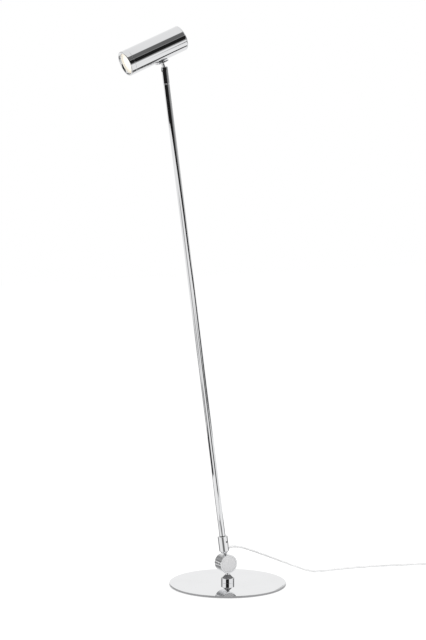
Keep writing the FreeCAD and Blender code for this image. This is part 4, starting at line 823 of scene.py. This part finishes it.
def cord_route(cord, start):
    """Control points of the whole cord, from its sleeve by way of the switch and the coil to the plug."""
    c, s = math.cos(SWITCH_HEADING), math.sin(SWITCH_HEADING)
    ahead, leftward = np.array((c, s, 0)), np.array((-s, c, 0))
    inlet = np.array((*SWITCH_START, CORD_HEIGHT))
    begin = inlet + ahead * (cord.switch_length + PIECE_GAP)
    coil = coil_points(cord, begin, ahead, leftward)
    last = coil[-1]
    middle = last - ahead * COMING_DOWN[0] + leftward * COMING_DOWN[1]
    low = np.array((*last[:2], CORD_HEIGHT)) - ahead * LYING_AGAIN[0] + leftward * LYING_AGAIN[1]
    way = (-ahead + leftward * PLUG_DRIFT) / math.hypot(1, PLUG_DRIFT)
    plug_end = low + way * cord.diameter
    points = [start, *LEAD_POINTS, inlet, inlet + ahead * cord.switch_length / 2, begin,
              begin + ahead * cord.diameter, *coil, middle, low, plug_end]
    return np.array([np.array(p, float) for p in points]), plug_end, way


def along_spline(points, steps=10):
    """Points read from the smooth NURBS line that has these control points."""
    curve = bpy.data.curves.new("cord_route", "CURVE")
    curve.dimensions = "3D"
    curve.resolution_u = steps
    spline = curve.splines.new("NURBS")
    spline.points.add(len(points) - 1)
    spline.points.foreach_set("co", np.column_stack([points, np.ones(len(points))]).ravel())
    spline.order_u = 3
    spline.use_endpoint_u = True
    holder = bpy.data.objects.new("cord_route", curve)
    mesh = bpy.data.meshes.new_from_object(holder)
    line = np.empty(len(mesh.vertices) * 3)
    mesh.vertices.foreach_get("co", line)
    bpy.data.objects.remove(holder)
    bpy.data.curves.remove(curve)
    bpy.data.meshes.remove(mesh)
    return line.reshape(-1, 3)


def sleeve_line(stand, cord, steps=72):
    """The drooping sleeve's middle line, an arc that starts square to the rod, and the way it ends."""
    start = rod_place(stand).put((stand.ferrule_radius, 0, SLEEVE_SEAT))
    lean, droop = stand.rod_lean, cord.sleeve_droop
    bend = cord.sleeve_length / droop
    turn = lean - np.linspace(0, droop, steps)
    centre = start - np.array((-math.sin(lean), 0, math.cos(lean))) * bend
    line = centre + bend * np.stack([-np.sin(turn), 0 * turn, np.cos(turn)], -1)
    way = np.array((math.cos(lean - droop), 0, math.sin(lean - droop)))
    return line, way


class FLOORLAMP_OT_cord(bpy.types.Operator):
    """Lay the cord from its sleeve along the floor, through the switch and the coil, to the plug"""
    bl_idname = "floor_lamp.cord"
    bl_label = "Cord and sleeve"

    def execute(self, context):
        stand, _, cord, _ = groups(context.scene)
        sheath = finish_of("clear_cord")
        line, way = sleeve_line(stand, cord)
        share = np.linspace(0, 1, len(line))
        rib_depth, rib_count, rib_end, collar_height, collar_end = 0.00022, 7, 0.93, 0.0007, 0.05
        taper = cord.sleeve_radius + (cord.diameter / 2 + 0.00015 - cord.sleeve_radius) * share
        ribs = rib_depth * np.clip(np.sin(share * 2 * math.pi * rib_count) * 3, -1, 0.2) * (share < rib_end)
        collar = collar_height * (1 - np.clip((share - collar_end) / 0.03, 0, 1))
        sleeve = swept("cord_sleeve", line, taper + ribs + collar, sheath, across=(0, 1, 0), segments=40)
        settle(sleeve, "rod", "strain_relief")

        exit_point = line[-1] + way * PIECE_GAP
        path = along_spline(cord_route(cord, exit_point)[0])
        tube = swept("cord", path, cord.diameter / 2, sheath, segments=20)
        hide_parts("cord_lead", "cord_coil")
        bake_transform(tube)
        return {"FINISHED"}


class FLOORLAMP_OT_switch(bpy.types.Operator):
    """Build the switch on the cord: lower and upper shell and the rocker"""
    bl_idname = "floor_lamp.switch"
    bl_label = "Cord switch"

    def execute(self, context):
        cord = groups(context.scene)[2]
        place = upright_place((*SWITCH_START, 0), SWITCH_HEADING)
        long, half, nose, taper = cord.switch_length, cord.switch_width / 2, 0.0045, 0.013
        centre = (long / 2, 0)
        corners = [(0, -nose), (taper, -half), (long - taper, -half), (long, -nose),
                   (long, nose), (long - taper, half), (taper, half), (0, nose)]
        radii = [0.0016, 0.006, 0.006, 0.0016] * 2
        body = rounded([(*p, r) for p, r in zip(corners, radii)], 8)
        wide, deep = 0.0095, 0.0049
        window = rounded([(centre[0] + x * wide, y * deep, 0.0008) for x, y in SQUARE])
        angles = outline_angles(centre, body, window)
        seam, high, wall, foot, crown, line = 0.008, cord.switch_height, 0.0018, 0.0012, 0.0022, 0.0003

        def ring(outline, inset, height):
            return place.put(level(reach(drawn_in(outline, inset), angles, centre), height))

        lower = [ring(body, inset, PIECE_GAP + rise) for inset, rise in quarter(foot, 6)]
        lower += [ring(body, 0, seam - 0.0005), ring(body, line, seam - 0.00015),
                  ring(body, wall, seam - 0.00015), ring(body, wall, wall)]
        built("switch_lower", "base", "switch_base", np.array(lower), "pale_plastic")

        upper = [ring(body, line, seam + PIECE_GAP), ring(body, 0, seam + 0.0004)]
        upper += [ring(body, inset, high - rise) for inset, rise in quarter(crown, 6)[::-1]]
        upper += [ring(window, -0.0005, high), ring(window, -0.0002, high - 0.0001),
                  ring(window, 0, high - 0.0004), ring(window, 0, high - wall),
                  ring(body, wall + 0.0002, high - wall), ring(body, wall, seam + PIECE_GAP)]
        built("switch_upper", "base", "switch_cover", np.array(upper), "pale_plastic", closed=True)

        arm, side, horn, dip, toe, heel = 0.0085, 0.0045, 0.0059, 0.0034, 0.007, -0.0022
        reach_of_dip = arm - 0.0012
        top = [(x, dip + (horn - dip) * (x / arm) ** 2, 0)
               for x in np.linspace(reach_of_dip, -reach_of_dip, 15)]
        outline = rounded([(toe, heel, 0.0006), (arm, horn, 0.0007), *top, (-arm, horn, 0.0007),
                           (-toe, heel, 0.0006)])
        tilt = math.radians(8.0)
        x, y, z = place.axes
        rocker = Place(place.put((centre[0], 0, 0.013)), math.cos(tilt) * x + math.sin(tilt) * z,
                       math.cos(tilt) * z - math.sin(tilt) * x, -y)
        rings = [level(drawn_in(outline, inset), height)
                 for inset, height in rounded_edge(0.0007, -side, side)]
        built("switch_rocker_cap", "rocker", "switch_rocker", rocker.put(rings), "rocker_plastic")
        return {"FINISHED"}


class FLOORLAMP_OT_plug(bpy.types.Operator):
    """Build the flat two-pin plug at the end of the cord"""
    bl_idname = "floor_lamp.plug"
    bl_label = "Plug"

    def execute(self, context):
        stand, _, cord, _ = groups(context.scene)
        start, _ = sleeve_line(stand, cord)
        _, end, way = cord_route(cord, start[-1])
        place = upright_place((*(end + way * PIECE_GAP)[:2], 0), math.atan2(way[1], way[0]))
        wide, tall, middle, neck_middle = cord.plug_width / 2, cord.plug_height / 2, 0.00705, 0.0048
        angles = np.linspace(-math.pi, math.pi, 96, endpoint=False)

        def section(w, h, edge):
            """Hexagon with rounded corners of half width w and half height h, and half sides of an edge."""
            corners = [(-w, -edge), (-w + h - edge, -h), (w - h + edge, -h), (w, -edge), (w, edge),
                       (w - h + edge, h), (-w + h - edge, h), (-w, edge)]
            return reach(rounded([(*p, 0.0012) for p in corners]), angles)

        def circle(radius):
            return radius * np.stack([np.cos(angles), np.sin(angles)], -1)

        # The neck's rings: distance from the cord, radius and height of the middle.
        neck = [(0.0, 0.00212, CORD_HEIGHT), (0.0004, 0.0024, 0.00245), (0.004, 0.0027, 0.0030),
                (0.008, 0.0032, 0.0037), (0.012, 0.0037, 0.0044)]
        rings = [stood(circle(radius) + (0, height), x) for x, radius, height in neck]
        shoulder = section(0.0096, 0.0056, 0.0030)
        full = section(wide, tall, tall * 0.55)
        for x, share in ((0.0138, 0.15), (0.0152, 0.5), (0.0165, 0.85), (0.0178, 1.0)):
            flat = circle(0.0041) * (1 - share) + shoulder * share
            rings.append(stood(flat + (0, neck_middle + (middle - neck_middle) * share), x))
        swell_start, swell_length, front, edge = 0.0178, 0.0147, 0.046, 0.0013
        for share in np.linspace(0.15, 1, 8):
            swell = 1 - (1 - share) ** 2
            flat = shoulder * (1 - swell) + full * swell
            rings.append(stood(flat + (0, middle), swell_start + swell_length * share))
        for inset, rise in quarter(edge)[::-1]:
            rings.append(stood(full * (1 - inset / tall) + (0, middle), front - rise))
        built("plug", "base", "plug_body", place.put(rings), "pale_plastic")
        return {"FINISHED"}


# ------------------------------------------------------------------ stand
class FLOORLAMP_OT_base(bpy.types.Operator):
    """Build the round base plate and the turned hub on it"""
    bl_idname = "floor_lamp.base"
    bl_label = "Base"

    def execute(self, context):
        s = groups(context.scene)[0]
        colours = context.scene.floor_lamp_colours
        low, high, radius, bevel = s.base_bottom, s.base_top, s.base_radius, s.base_bevel
        hole, sink, sink_top = 0.0042, 0.0079, low + 0.0037
        # The plate's side gets a dark tint: painted reflection of the shadowed floor beside it.
        rim = chrome_with_painted_band("plate_chrome", colours.chrome, colours.rim, radius - 0.0005, low - 0.001,
                            high - 0.0004)
        turned("base_plate_polished", "base", "base_plate", [
            (sink, low, 0), (radius, low, bevel * 0.6), (radius, high, bevel), (hole, high, 0),
            (hole, sink_top, 0)], upright_place(), closed=True, segments=360, material=rim)
        shoulder = high + s.hub_height
        cone_top = shoulder + s.hub_cone
        neck_top = s.hinge_height - s.drum_radius + 0.0015
        thread, thread_top, cone_end = 0.0041, high + 0.0101, 0.005
        # The hub's cone gets a dark tint: painted reflection of the hinge drum's underside above it.
        cone = chrome_with_painted_band("hub_chrome", colours.chrome, colours.cone, s.neck_radius + 0.0004, shoulder,
                             cone_top + 0.0001)
        turned("base_hub_polished", "base", "base_hub", [
            (0, thread_top, 0), (thread, thread_top, 0), (thread, high, 0), (s.hub_radius, high, 0.0003),
            (s.hub_radius, shoulder, 0.0007), (s.hub_shoulder, shoulder, 0.0003),
            (cone_end, cone_top, 0.0005), (s.neck_radius, cone_top + 0.0002, 0.0003),
            (s.neck_radius, neck_top, 0), (0, neck_top, 0)],
            upright_place(), material=cone)
        return {"FINISHED"}


class FLOORLAMP_OT_hinge(bpy.types.Operator):
    """Build the friction hinge: its two halves, the brushed face and the rear cap"""
    bl_idname = "floor_lamp.hinge"
    bl_label = "Friction hinge"

    def execute(self, context):
        s = groups(context.scene)[0]
        place, radius, front, seam = drum_place(s), s.drum_radius, -s.drum_front, s.drum_seam
        face, seat, rim = s.face_radius, front + 0.0015, s.face_radius + 0.00008
        bore, well, well_floor, washer, washer_seat = 0.0046, 0.0086, 0.0012, 0.0112, 0.00355
        turned("hinge_front_shell", "base", "hinge_fixed_half", [
            (bore, well_floor, 0), (well, well_floor, 0), (well, seat, 0), (rim, seat, 0),
            (rim, front, 0.0002), (radius, front, 0.0008), (radius, seam, 0.0007), (washer, seam, 0),
            (washer, washer_seat, 0), (bore, washer_seat, 0)], place, closed=True)
        disc = front + 0.0001
        turned("hinge_face", "base", "hinge_front_cap", [
            (0, disc, 0), (face, disc, 0.0003), (face, seat, 0), (0, seat, 0)], place, "brushed_face")
        low, high = seam + 0.0002, seam + 0.0098
        bore, recess, recess_floor, web = 0.0045, 0.018, high - 0.0012, low + 0.003
        turned("hinge_rear_shell", "rod", "hinge_moving_half", [
            (bore, low, 0), (radius, low, 0.0007), (radius, high, 0.00025), (recess, high, 0),
            (recess, recess_floor, 0), (well, recess_floor, 0), (well, web, 0), (bore, web, 0)],
            place, closed=True)
        end = high + 0.0088
        roof, cavity, spigot, spigot_end = end - 0.0022, 0.0157, 0.0179, high - 0.0011
        turned("hinge_cap", "rod", "hinge_rear_cap", [
            (0, roof, 0), (cavity, roof, 0), (cavity, spigot_end, 0), (spigot, spigot_end, 0),
            (spigot, high, 0), (radius, high, 0.00025), (radius, end, 0.0012), (0, end, 0)], place)
        return {"FINISHED"}


class FLOORLAMP_OT_rod(bpy.types.Operator):
    """Build the telescopic rod's outer tube and its bush"""
    bl_idname = "floor_lamp.rod"
    bl_label = "Telescopic rod"

    def execute(self, context):
        s = groups(context.scene)[0]
        place, foot, bush_foot = rod_place(s), 0.042, s.tube_top - 0.014
        outside, inside = s.tube_radius, s.tube_radius - s.tube_wall
        turned("rod_tube", "rod", "outer_tube", [
            (outside, foot, 0.0002), (outside, s.tube_top, 0.0003), (inside, s.tube_top, 0.0002),
            (inside, foot, 0.0002)], place, closed=True, segments=128)
        slide, sleeve = s.inner_radius + 0.00004, inside - 0.00005
        turned("rod_bush", "rod", "tube_bush", [
            (slide, bush_foot, 0), (sleeve, bush_foot, 0), (sleeve, s.tube_top, 0),
            (outside, s.tube_top, 0.0003), (outside, s.bush_top, 0.0004), (slide, s.bush_top, 0.0002)],
            place, closed=True, segments=128)
        return {"FINISHED"}


# ------------------------------------------------------------------ head
class FLOORLAMP_OT_head(bpy.types.Operator):
    """Build the spot head: the tube, the bezel, the rear cap and the disc on the stem"""
    bl_idname = "floor_lamp.head"
    bl_label = "Spot head"

    def execute(self, context):
        stand, h = groups(context.scene)[:2]
        place = head_place(stand, h)
        wall, back, clearance = 0.001, 0.003, 0.00005
        radius, bore, end = h.radius, h.radius - wall, h.length - back
        turned("head_shell", "head", "head_tube", [
            (radius, h.bezel, 0.0003), (radius, end, 0.0003), (bore, end, 0), (bore, h.bezel, 0)],
            place, closed=True, segments=256)
        plug, lamp, sleeve_end = bore - clearance, 0.02465, h.bezel + 0.0045
        turned("head_ring", "head", "head_bezel", [
            (h.opening, 0, h.mouth), (radius, 0, h.edge), (radius, h.bezel, 0.0003), (plug, h.bezel, 0),
            (plug, sleeve_end, 0), (lamp, sleeve_end, 0), (lamp, h.lip, 0), (h.opening, h.lip, 0.0003)],
            place, closed=True, steps=8, segments=256)
        skirt, skirt_end = plug - 0.0014, end - 0.008
        turned("head_back", "head", "head_rear_cap", [
            (0, end, 0), (skirt, end, 0), (skirt, skirt_end, 0), (plug, skirt_end, 0), (plug, end, 0),
            (radius, end, 0.0003), (radius, h.length, h.rear_edge), (0, h.length, 0)], place,
            steps=10, segments=256)
        foot = h.axis_height - radius - 0.0029
        disc, top, neck = foot + 0.002, foot + 0.0035, 0.006
        turned("head_rosette", "head", "rosette", [
            (0, foot, 0), (h.rosette_radius, foot, 0.0006), (h.rosette_radius, disc, 0.0006),
            (neck, disc, 0.0003), (neck, top, 0), (0, top, 0)], stem_place(stand, h))
        return {"FINISHED"}


class FLOORLAMP_OT_lamp(bpy.types.Operator):
    """Build the lamp's frosted lens, lit from within"""
    bl_idname = "floor_lamp.lamp"
    bl_label = "Lamp"

    def execute(self, context):
        stand, head, _, stage = groups(context.scene)
        place, radius = head_place(stand, head), head.lens_radius
        face, thick = 0.007125, 0.002
        dome = [(radius * a, face - head.lens_dome * (1 - a * a), 0) for a in np.linspace(0, 1, 24)[:-1]]
        glass = lit_lens(context.scene.floor_lamp_colours.glow, stage.glow, place.put((0, 0, face)), radius)
        turned("lamp_glass", "head", "lamp_lens", [
            *dome, (radius, face, 0), (radius, face + thick, 0.0003), (0, face + thick, 0)],
            place, "lamp_glass", glass)
        return {"FINISHED"}


class FLOORLAMP_OT_fittings(bpy.types.Operator):
    """Give every CAD piece that still shows, or is inside, its finish"""
    bl_idname = "floor_lamp.fittings"
    bl_label = "Fittings"

    def execute(self, context):
        slots = {row["node"]: row["material_slot"] for row in frame["record"]["subparts"]}
        for name, node in frame["nodes"].items():
            if node.hide_render:
                continue
            material = finish_of(slots[name])
            node.data.materials.clear()
            node.data.materials.append(material)
        return {"FINISHED"}


# ------------------------------------------------------------------ stage
CAMERA_PLACE = (-2.1201, -4.1610, 1.1337)
CAMERA_TURN = (90 - 6.858, 0.0, -26.613)
CAMERA_LENS = 187.87
SENSOR_WIDTH = 36.0
TOWARDS_CAMERA = (-0.454, -0.891, 0.0)
CAMERA_RIGHT = (0.891, -0.454, 0.0)
# Soft lamps: name, size and place; all are aimed at the middle of the floor lamp.
SOFT_LAMPS = [("key", 2.6, (-1.6, -2.2, 3.0)), ("side", 2.0, (2.4, -0.6, 1.8))]
LAMP_MIDDLE = (-0.08, 0, 0.55)
FLOOR_HALF = 6.0
# The floor's own white as the camera and as chrome sees it, and the share of it that a shadow can take.
SEEN_FLOOR = 0.68
MIRRORED_FLOOR = 0.86
SHADED_SHARE = 0.45

# How light the bare studio is for chrome at two heights above level, in degrees.
LOW_SKY = (12, 0.92)
HIGH_SKY = (50, 0.82)
# The far studio as chrome sees it: azimuth from and to (0 is towards the camera, + to its right) and
# softness, elevation from and to and softness, all in degrees, and how light that part is.
FAR_CARDS = [
    (-88, 62, 5, -8.5, 25, 2, 0.012),
    (-118, -60, 8, -9, 9, 3, 0.012),
    (58, 100, 6, -8, 1, 2, 0.03),
    (58, 100, 6, 1, 26, 2, 0.16),
    (-60, 64, 8, 25, 58, 3, 0.13),
    (-126, -103, 4, 2, 28, 3, 0.02),
    (-158, -124, 8, -3, 30, 4, 0.28),
    (105, 125, 4, 3, 28, 3, 0.02),
    (124, 158, 8, -3, 30, 4, 0.28),
]
# Cards near the lamp: name, azimuth from and to in degrees, distance and height of the card's lower edge,
# distance and height of its upper edge, how light it is, and the soft share of its sides and its ends.
NEAR_CARDS = [
    ("wall_left", -107, -30, 0.35, 0.0, 0.35, 0.118, 0.9, 0.05, 0.08),
    ("wall_right", 22, 107, 0.35, 0.0, 0.35, 0.118, 0.9, 0.05, 0.08),
    ("dark_wall", -88, 34, 2.2, 0.52, 2.2, 1.3, 0.012, 0.05, 0.1),
    ("shade_high", 40, 92, 2.2, 0.8, 2.2, 1.12, 0.25, 0.2, 0.35),
    ("post_right", 60, 122, 2.2, 0.1, 2.2, 0.66, 0.012, 0.12, 0.12),
    ("patch_far_left", -64, -20, 1.3, 0.001, 3.6, 0.001, 0.36, 0.25, 0.15),
    ("patch_near_left", -74, -30, 0.25, 0.002, 1.4, 0.002, 0.14, 0.25, 0.15),
    ("patch_right", 12, 58, 0.4, 0.001, 3.4, 0.001, 0.04, 0.2, 0.1),
    ("patch_front", -34, 30, 0.13, 0.003, 0.44, 0.003, 0.16, 0.3, 0.15),
    ("patch_side_left", -156, -100, 0.13, 0.001, 0.8, 0.001, 0.22, 0.15, 0.15),
    ("patch_side_right", 104, 152, 0.13, 0.002, 1.05, 0.002, 0.1, 0.15, 0.1),
    ("patch_rim", -112, -46, 0.6, 0.003, 0.98, 0.003, 0.015, 0.1, 0.1),
    ("patch_back", -118, -90, 1.0, 0.001, 2.1, 0.001, 0.015, 0.1, 0.1),
    ("line_back", 97, 118, 0.72, 0.001, 1.2, 0.001, 0.012, 0.12, 0.1),
]


class FLOORLAMP_OT_stage(bpy.types.Operator):
    """Set up the camera, the pale floor, the soft lamps and the studio cards that the chrome reflects"""
    bl_idname = "floor_lamp.stage"
    bl_label = "Stage"

    def execute(self, context):
        scene = context.scene
        stage = scene.floor_lamp_stage
        scene.view_settings.view_transform = "Standard"
        data = bpy.data.cameras.new("camera")
        data.sensor_fit = "HORIZONTAL"
        data.sensor_width = SENSOR_WIDTH
        data.lens = CAMERA_LENS
        camera = link("camera", data)
        camera.location = CAMERA_PLACE
        camera.rotation_euler = [math.radians(turn) for turn in CAMERA_TURN]
        scene.camera = camera

        mesh = bpy.data.meshes.new("floor")
        mesh.from_pydata([(x * FLOOR_HALF, y * FLOOR_HALF, 0) for x, y in SQUARE], [], [(0, 1, 2, 3)])
        mesh.materials.append(self.floor_finish(stage.floor))
        link("floor", mesh)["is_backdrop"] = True
        for card in NEAR_CARDS:
            self.near_card(*card)

        for name, size, place in SOFT_LAMPS:
            lamp = bpy.data.lights.new(name, "AREA")
            lamp.energy = getattr(stage, name)
            lamp.size = size
            lit = link(name, lamp)
            lit.location = place
            aim = np.array(LAMP_MIDDLE) - np.array(place)
            lit.rotation_euler = (math.acos(-aim[2] / np.linalg.norm(aim)), 0,
                                  math.atan2(aim[1], aim[0]) - math.pi / 2)
            lit.visible_glossy = False
        self.surround(scene, stage.fill)
        return {"FINISHED"}

    def floor_finish(self, tint):
        """Pale floor: the camera sees mostly its own white, darkened where the lamp's shadow falls."""
        material = bpy.data.materials.new("floor")
        nodes = Nodes(material)
        seen, glossy, through = nodes.rays("Camera", "Glossy", "Transmission")
        mottle = nodes.noise(3.0, 2.0).to(0.2, 0.8).between(shade(tint, 0.97), tuple(tint))
        plain_floor = nodes.make("ShaderNodeBsdfDiffuse", inputs={"Color": mottle})
        faint = nodes.make("ShaderNodeBsdfDiffuse", inputs={"Color": mottle * ((SHADED_SHARE,) * 3)})
        shown = nodes.make("ShaderNodeAddShader", inputs={0: faint, 1: nodes.shine(tuple(tint), SEEN_FLOOR)})
        both = nodes.mixed(nodes.maths("MINIMUM", seen + through, 1.0), plain_floor, shown)
        nodes.show(nodes.mixed(glossy, both, nodes.shine(tuple(tint), MIRRORED_FLOOR)))
        return material

    def near_card(self, name, left, right, near, low, far, high, light, side_soft, end_soft):
        """Curved card that only chrome sees: an azimuth, and a line from its lower to its upper edge."""
        rows, columns = 2, 48
        turn = np.radians(np.linspace(left, right, columns))[None, :, None]
        share = np.linspace(0, 1, rows)[:, None, None]
        way = np.cos(turn) * TOWARDS_CAMERA + np.sin(turn) * CAMERA_RIGHT
        points = (near + (far - near) * share) * way + (low + (high - low) * share) * np.array((0, 0, 1.0))
        quads = grid_faces(rows, columns, rings=False)
        mesh = bpy.data.meshes.new(name)
        mesh.from_pydata(points.reshape(-1, 3).tolist(), [], quads.tolist())
        layer = mesh.uv_layers.new(name="share")
        place = np.stack([quads % columns / (columns - 1), quads // columns], -1)
        layer.data.foreach_set("uv", place.astype(float).ravel())
        material = bpy.data.materials.new(name)
        material.cycles.emission_sampling = "NONE"
        nodes = Nodes(material)
        along, height, _ = nodes.parts(nodes.make("ShaderNodeUVMap", {"uv_map": "share"}))
        solid = along.to(0, side_soft, True) * along.to(1, 1 - side_soft, True)
        solid = solid * height.to(1, 1 - end_soft, True)
        if low == high:
            solid = solid * height.to(0, end_soft, True)
        clear = nodes.make("ShaderNodeBsdfTransparent")
        nodes.show(nodes.mixed(solid, clear, nodes.shine((light, light, light), 1.0)))
        mesh.materials.append(material)
        card = link(name, mesh)
        card.visible_camera = card.visible_diffuse = card.visible_shadow = card.visible_transmission = False
        card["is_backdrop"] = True

    def surround(self, scene, fill):
        """Even light for plain surfaces, white behind the lamp, and cards for the chrome to reflect."""
        scene.world = bpy.data.worlds.new("studio")
        nodes = Nodes(scene.world)
        ray = nodes.make("ShaderNodeTexCoord", output="Generated")
        right, toward, up = (nodes.measure("DOT_PRODUCT", ray, direction)
                             for direction in (CAMERA_RIGHT, TOWARDS_CAMERA, (0, 0, 1)))
        degrees = 180 / math.pi
        azimuth = nodes.maths("ARCTAN2", right, toward) * degrees
        elevation = nodes.maths("ARCSINE", up) * degrees
        light_level = elevation.to(LOW_SKY[0], HIGH_SKY[0], out=(LOW_SKY[1], HIGH_SKY[1]))
        for left, right_end, side_soft, low, high, soft, light in FAR_CARDS:
            inside = elevation.window(low, high, soft) * azimuth.window(left, right_end, side_soft)
            light_level = inside.between(light_level, light)
        seen, glossy, through = nodes.rays("Camera", "Glossy", "Transmission")
        light_level = (seen + through).between(glossy.between(fill, light_level), 1.0)
        sky = nodes.make("ShaderNodeBackground", inputs={"Color": light_level.colour(), "Strength": 1.0})
        nodes.show(sky, "World")


# ------------------------------------------------------------------ sidebar
BUILDERS = [FLOORLAMP_OT_stage, FLOORLAMP_OT_base, FLOORLAMP_OT_hinge, FLOORLAMP_OT_rod, FLOORLAMP_OT_head,
            FLOORLAMP_OT_lamp, FLOORLAMP_OT_switch, FLOORLAMP_OT_plug, FLOORLAMP_OT_cord,
            FLOORLAMP_OT_fittings]


class FLOORLAMP_PT_sidebar(bpy.types.Panel):
    """Sidebar panel with the lamp's pieces and settings"""
    bl_idname = "FLOORLAMP_PT_sidebar"
    bl_label = "Telescopic floor lamp"
    bl_space_type = "VIEW_3D"
    bl_region_type = "UI"
    bl_category = "Floor Lamp"

    def draw(self, context):
        for builder in BUILDERS:
            self.layout.operator(builder.bl_idname)
        for name, group in GROUPS.items():
            box = self.layout.box()
            for key in group.__annotations__:
                box.prop(getattr(context.scene, name), key)


def register():
    for group in GROUPS.values():
        bpy.utils.register_class(group)
    for name, group in GROUPS.items():
        setattr(bpy.types.Scene, name, PointerProperty(type=group))
    for builder in BUILDERS:
        bpy.utils.register_class(builder)
    bpy.utils.register_class(FLOORLAMP_PT_sidebar)


def unregister():
    bpy.utils.unregister_class(FLOORLAMP_PT_sidebar)
    for builder in reversed(BUILDERS):
        bpy.utils.unregister_class(builder)
    for name in GROUPS:
        delattr(bpy.types.Scene, name)
    for group in reversed(list(GROUPS.values())):
        bpy.utils.unregister_class(group)


def main():
    """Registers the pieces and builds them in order."""
    register()
    for builder in BUILDERS:
        group, action = builder.bl_idname.split(".")
        getattr(getattr(bpy.ops, group), action)()
    boxes = {"cad": CAD_BOX, "visual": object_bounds()}
    {name: [list(corner) for corner in box] for name, box in boxes.items()}


if __name__ == "__main__":
    main()
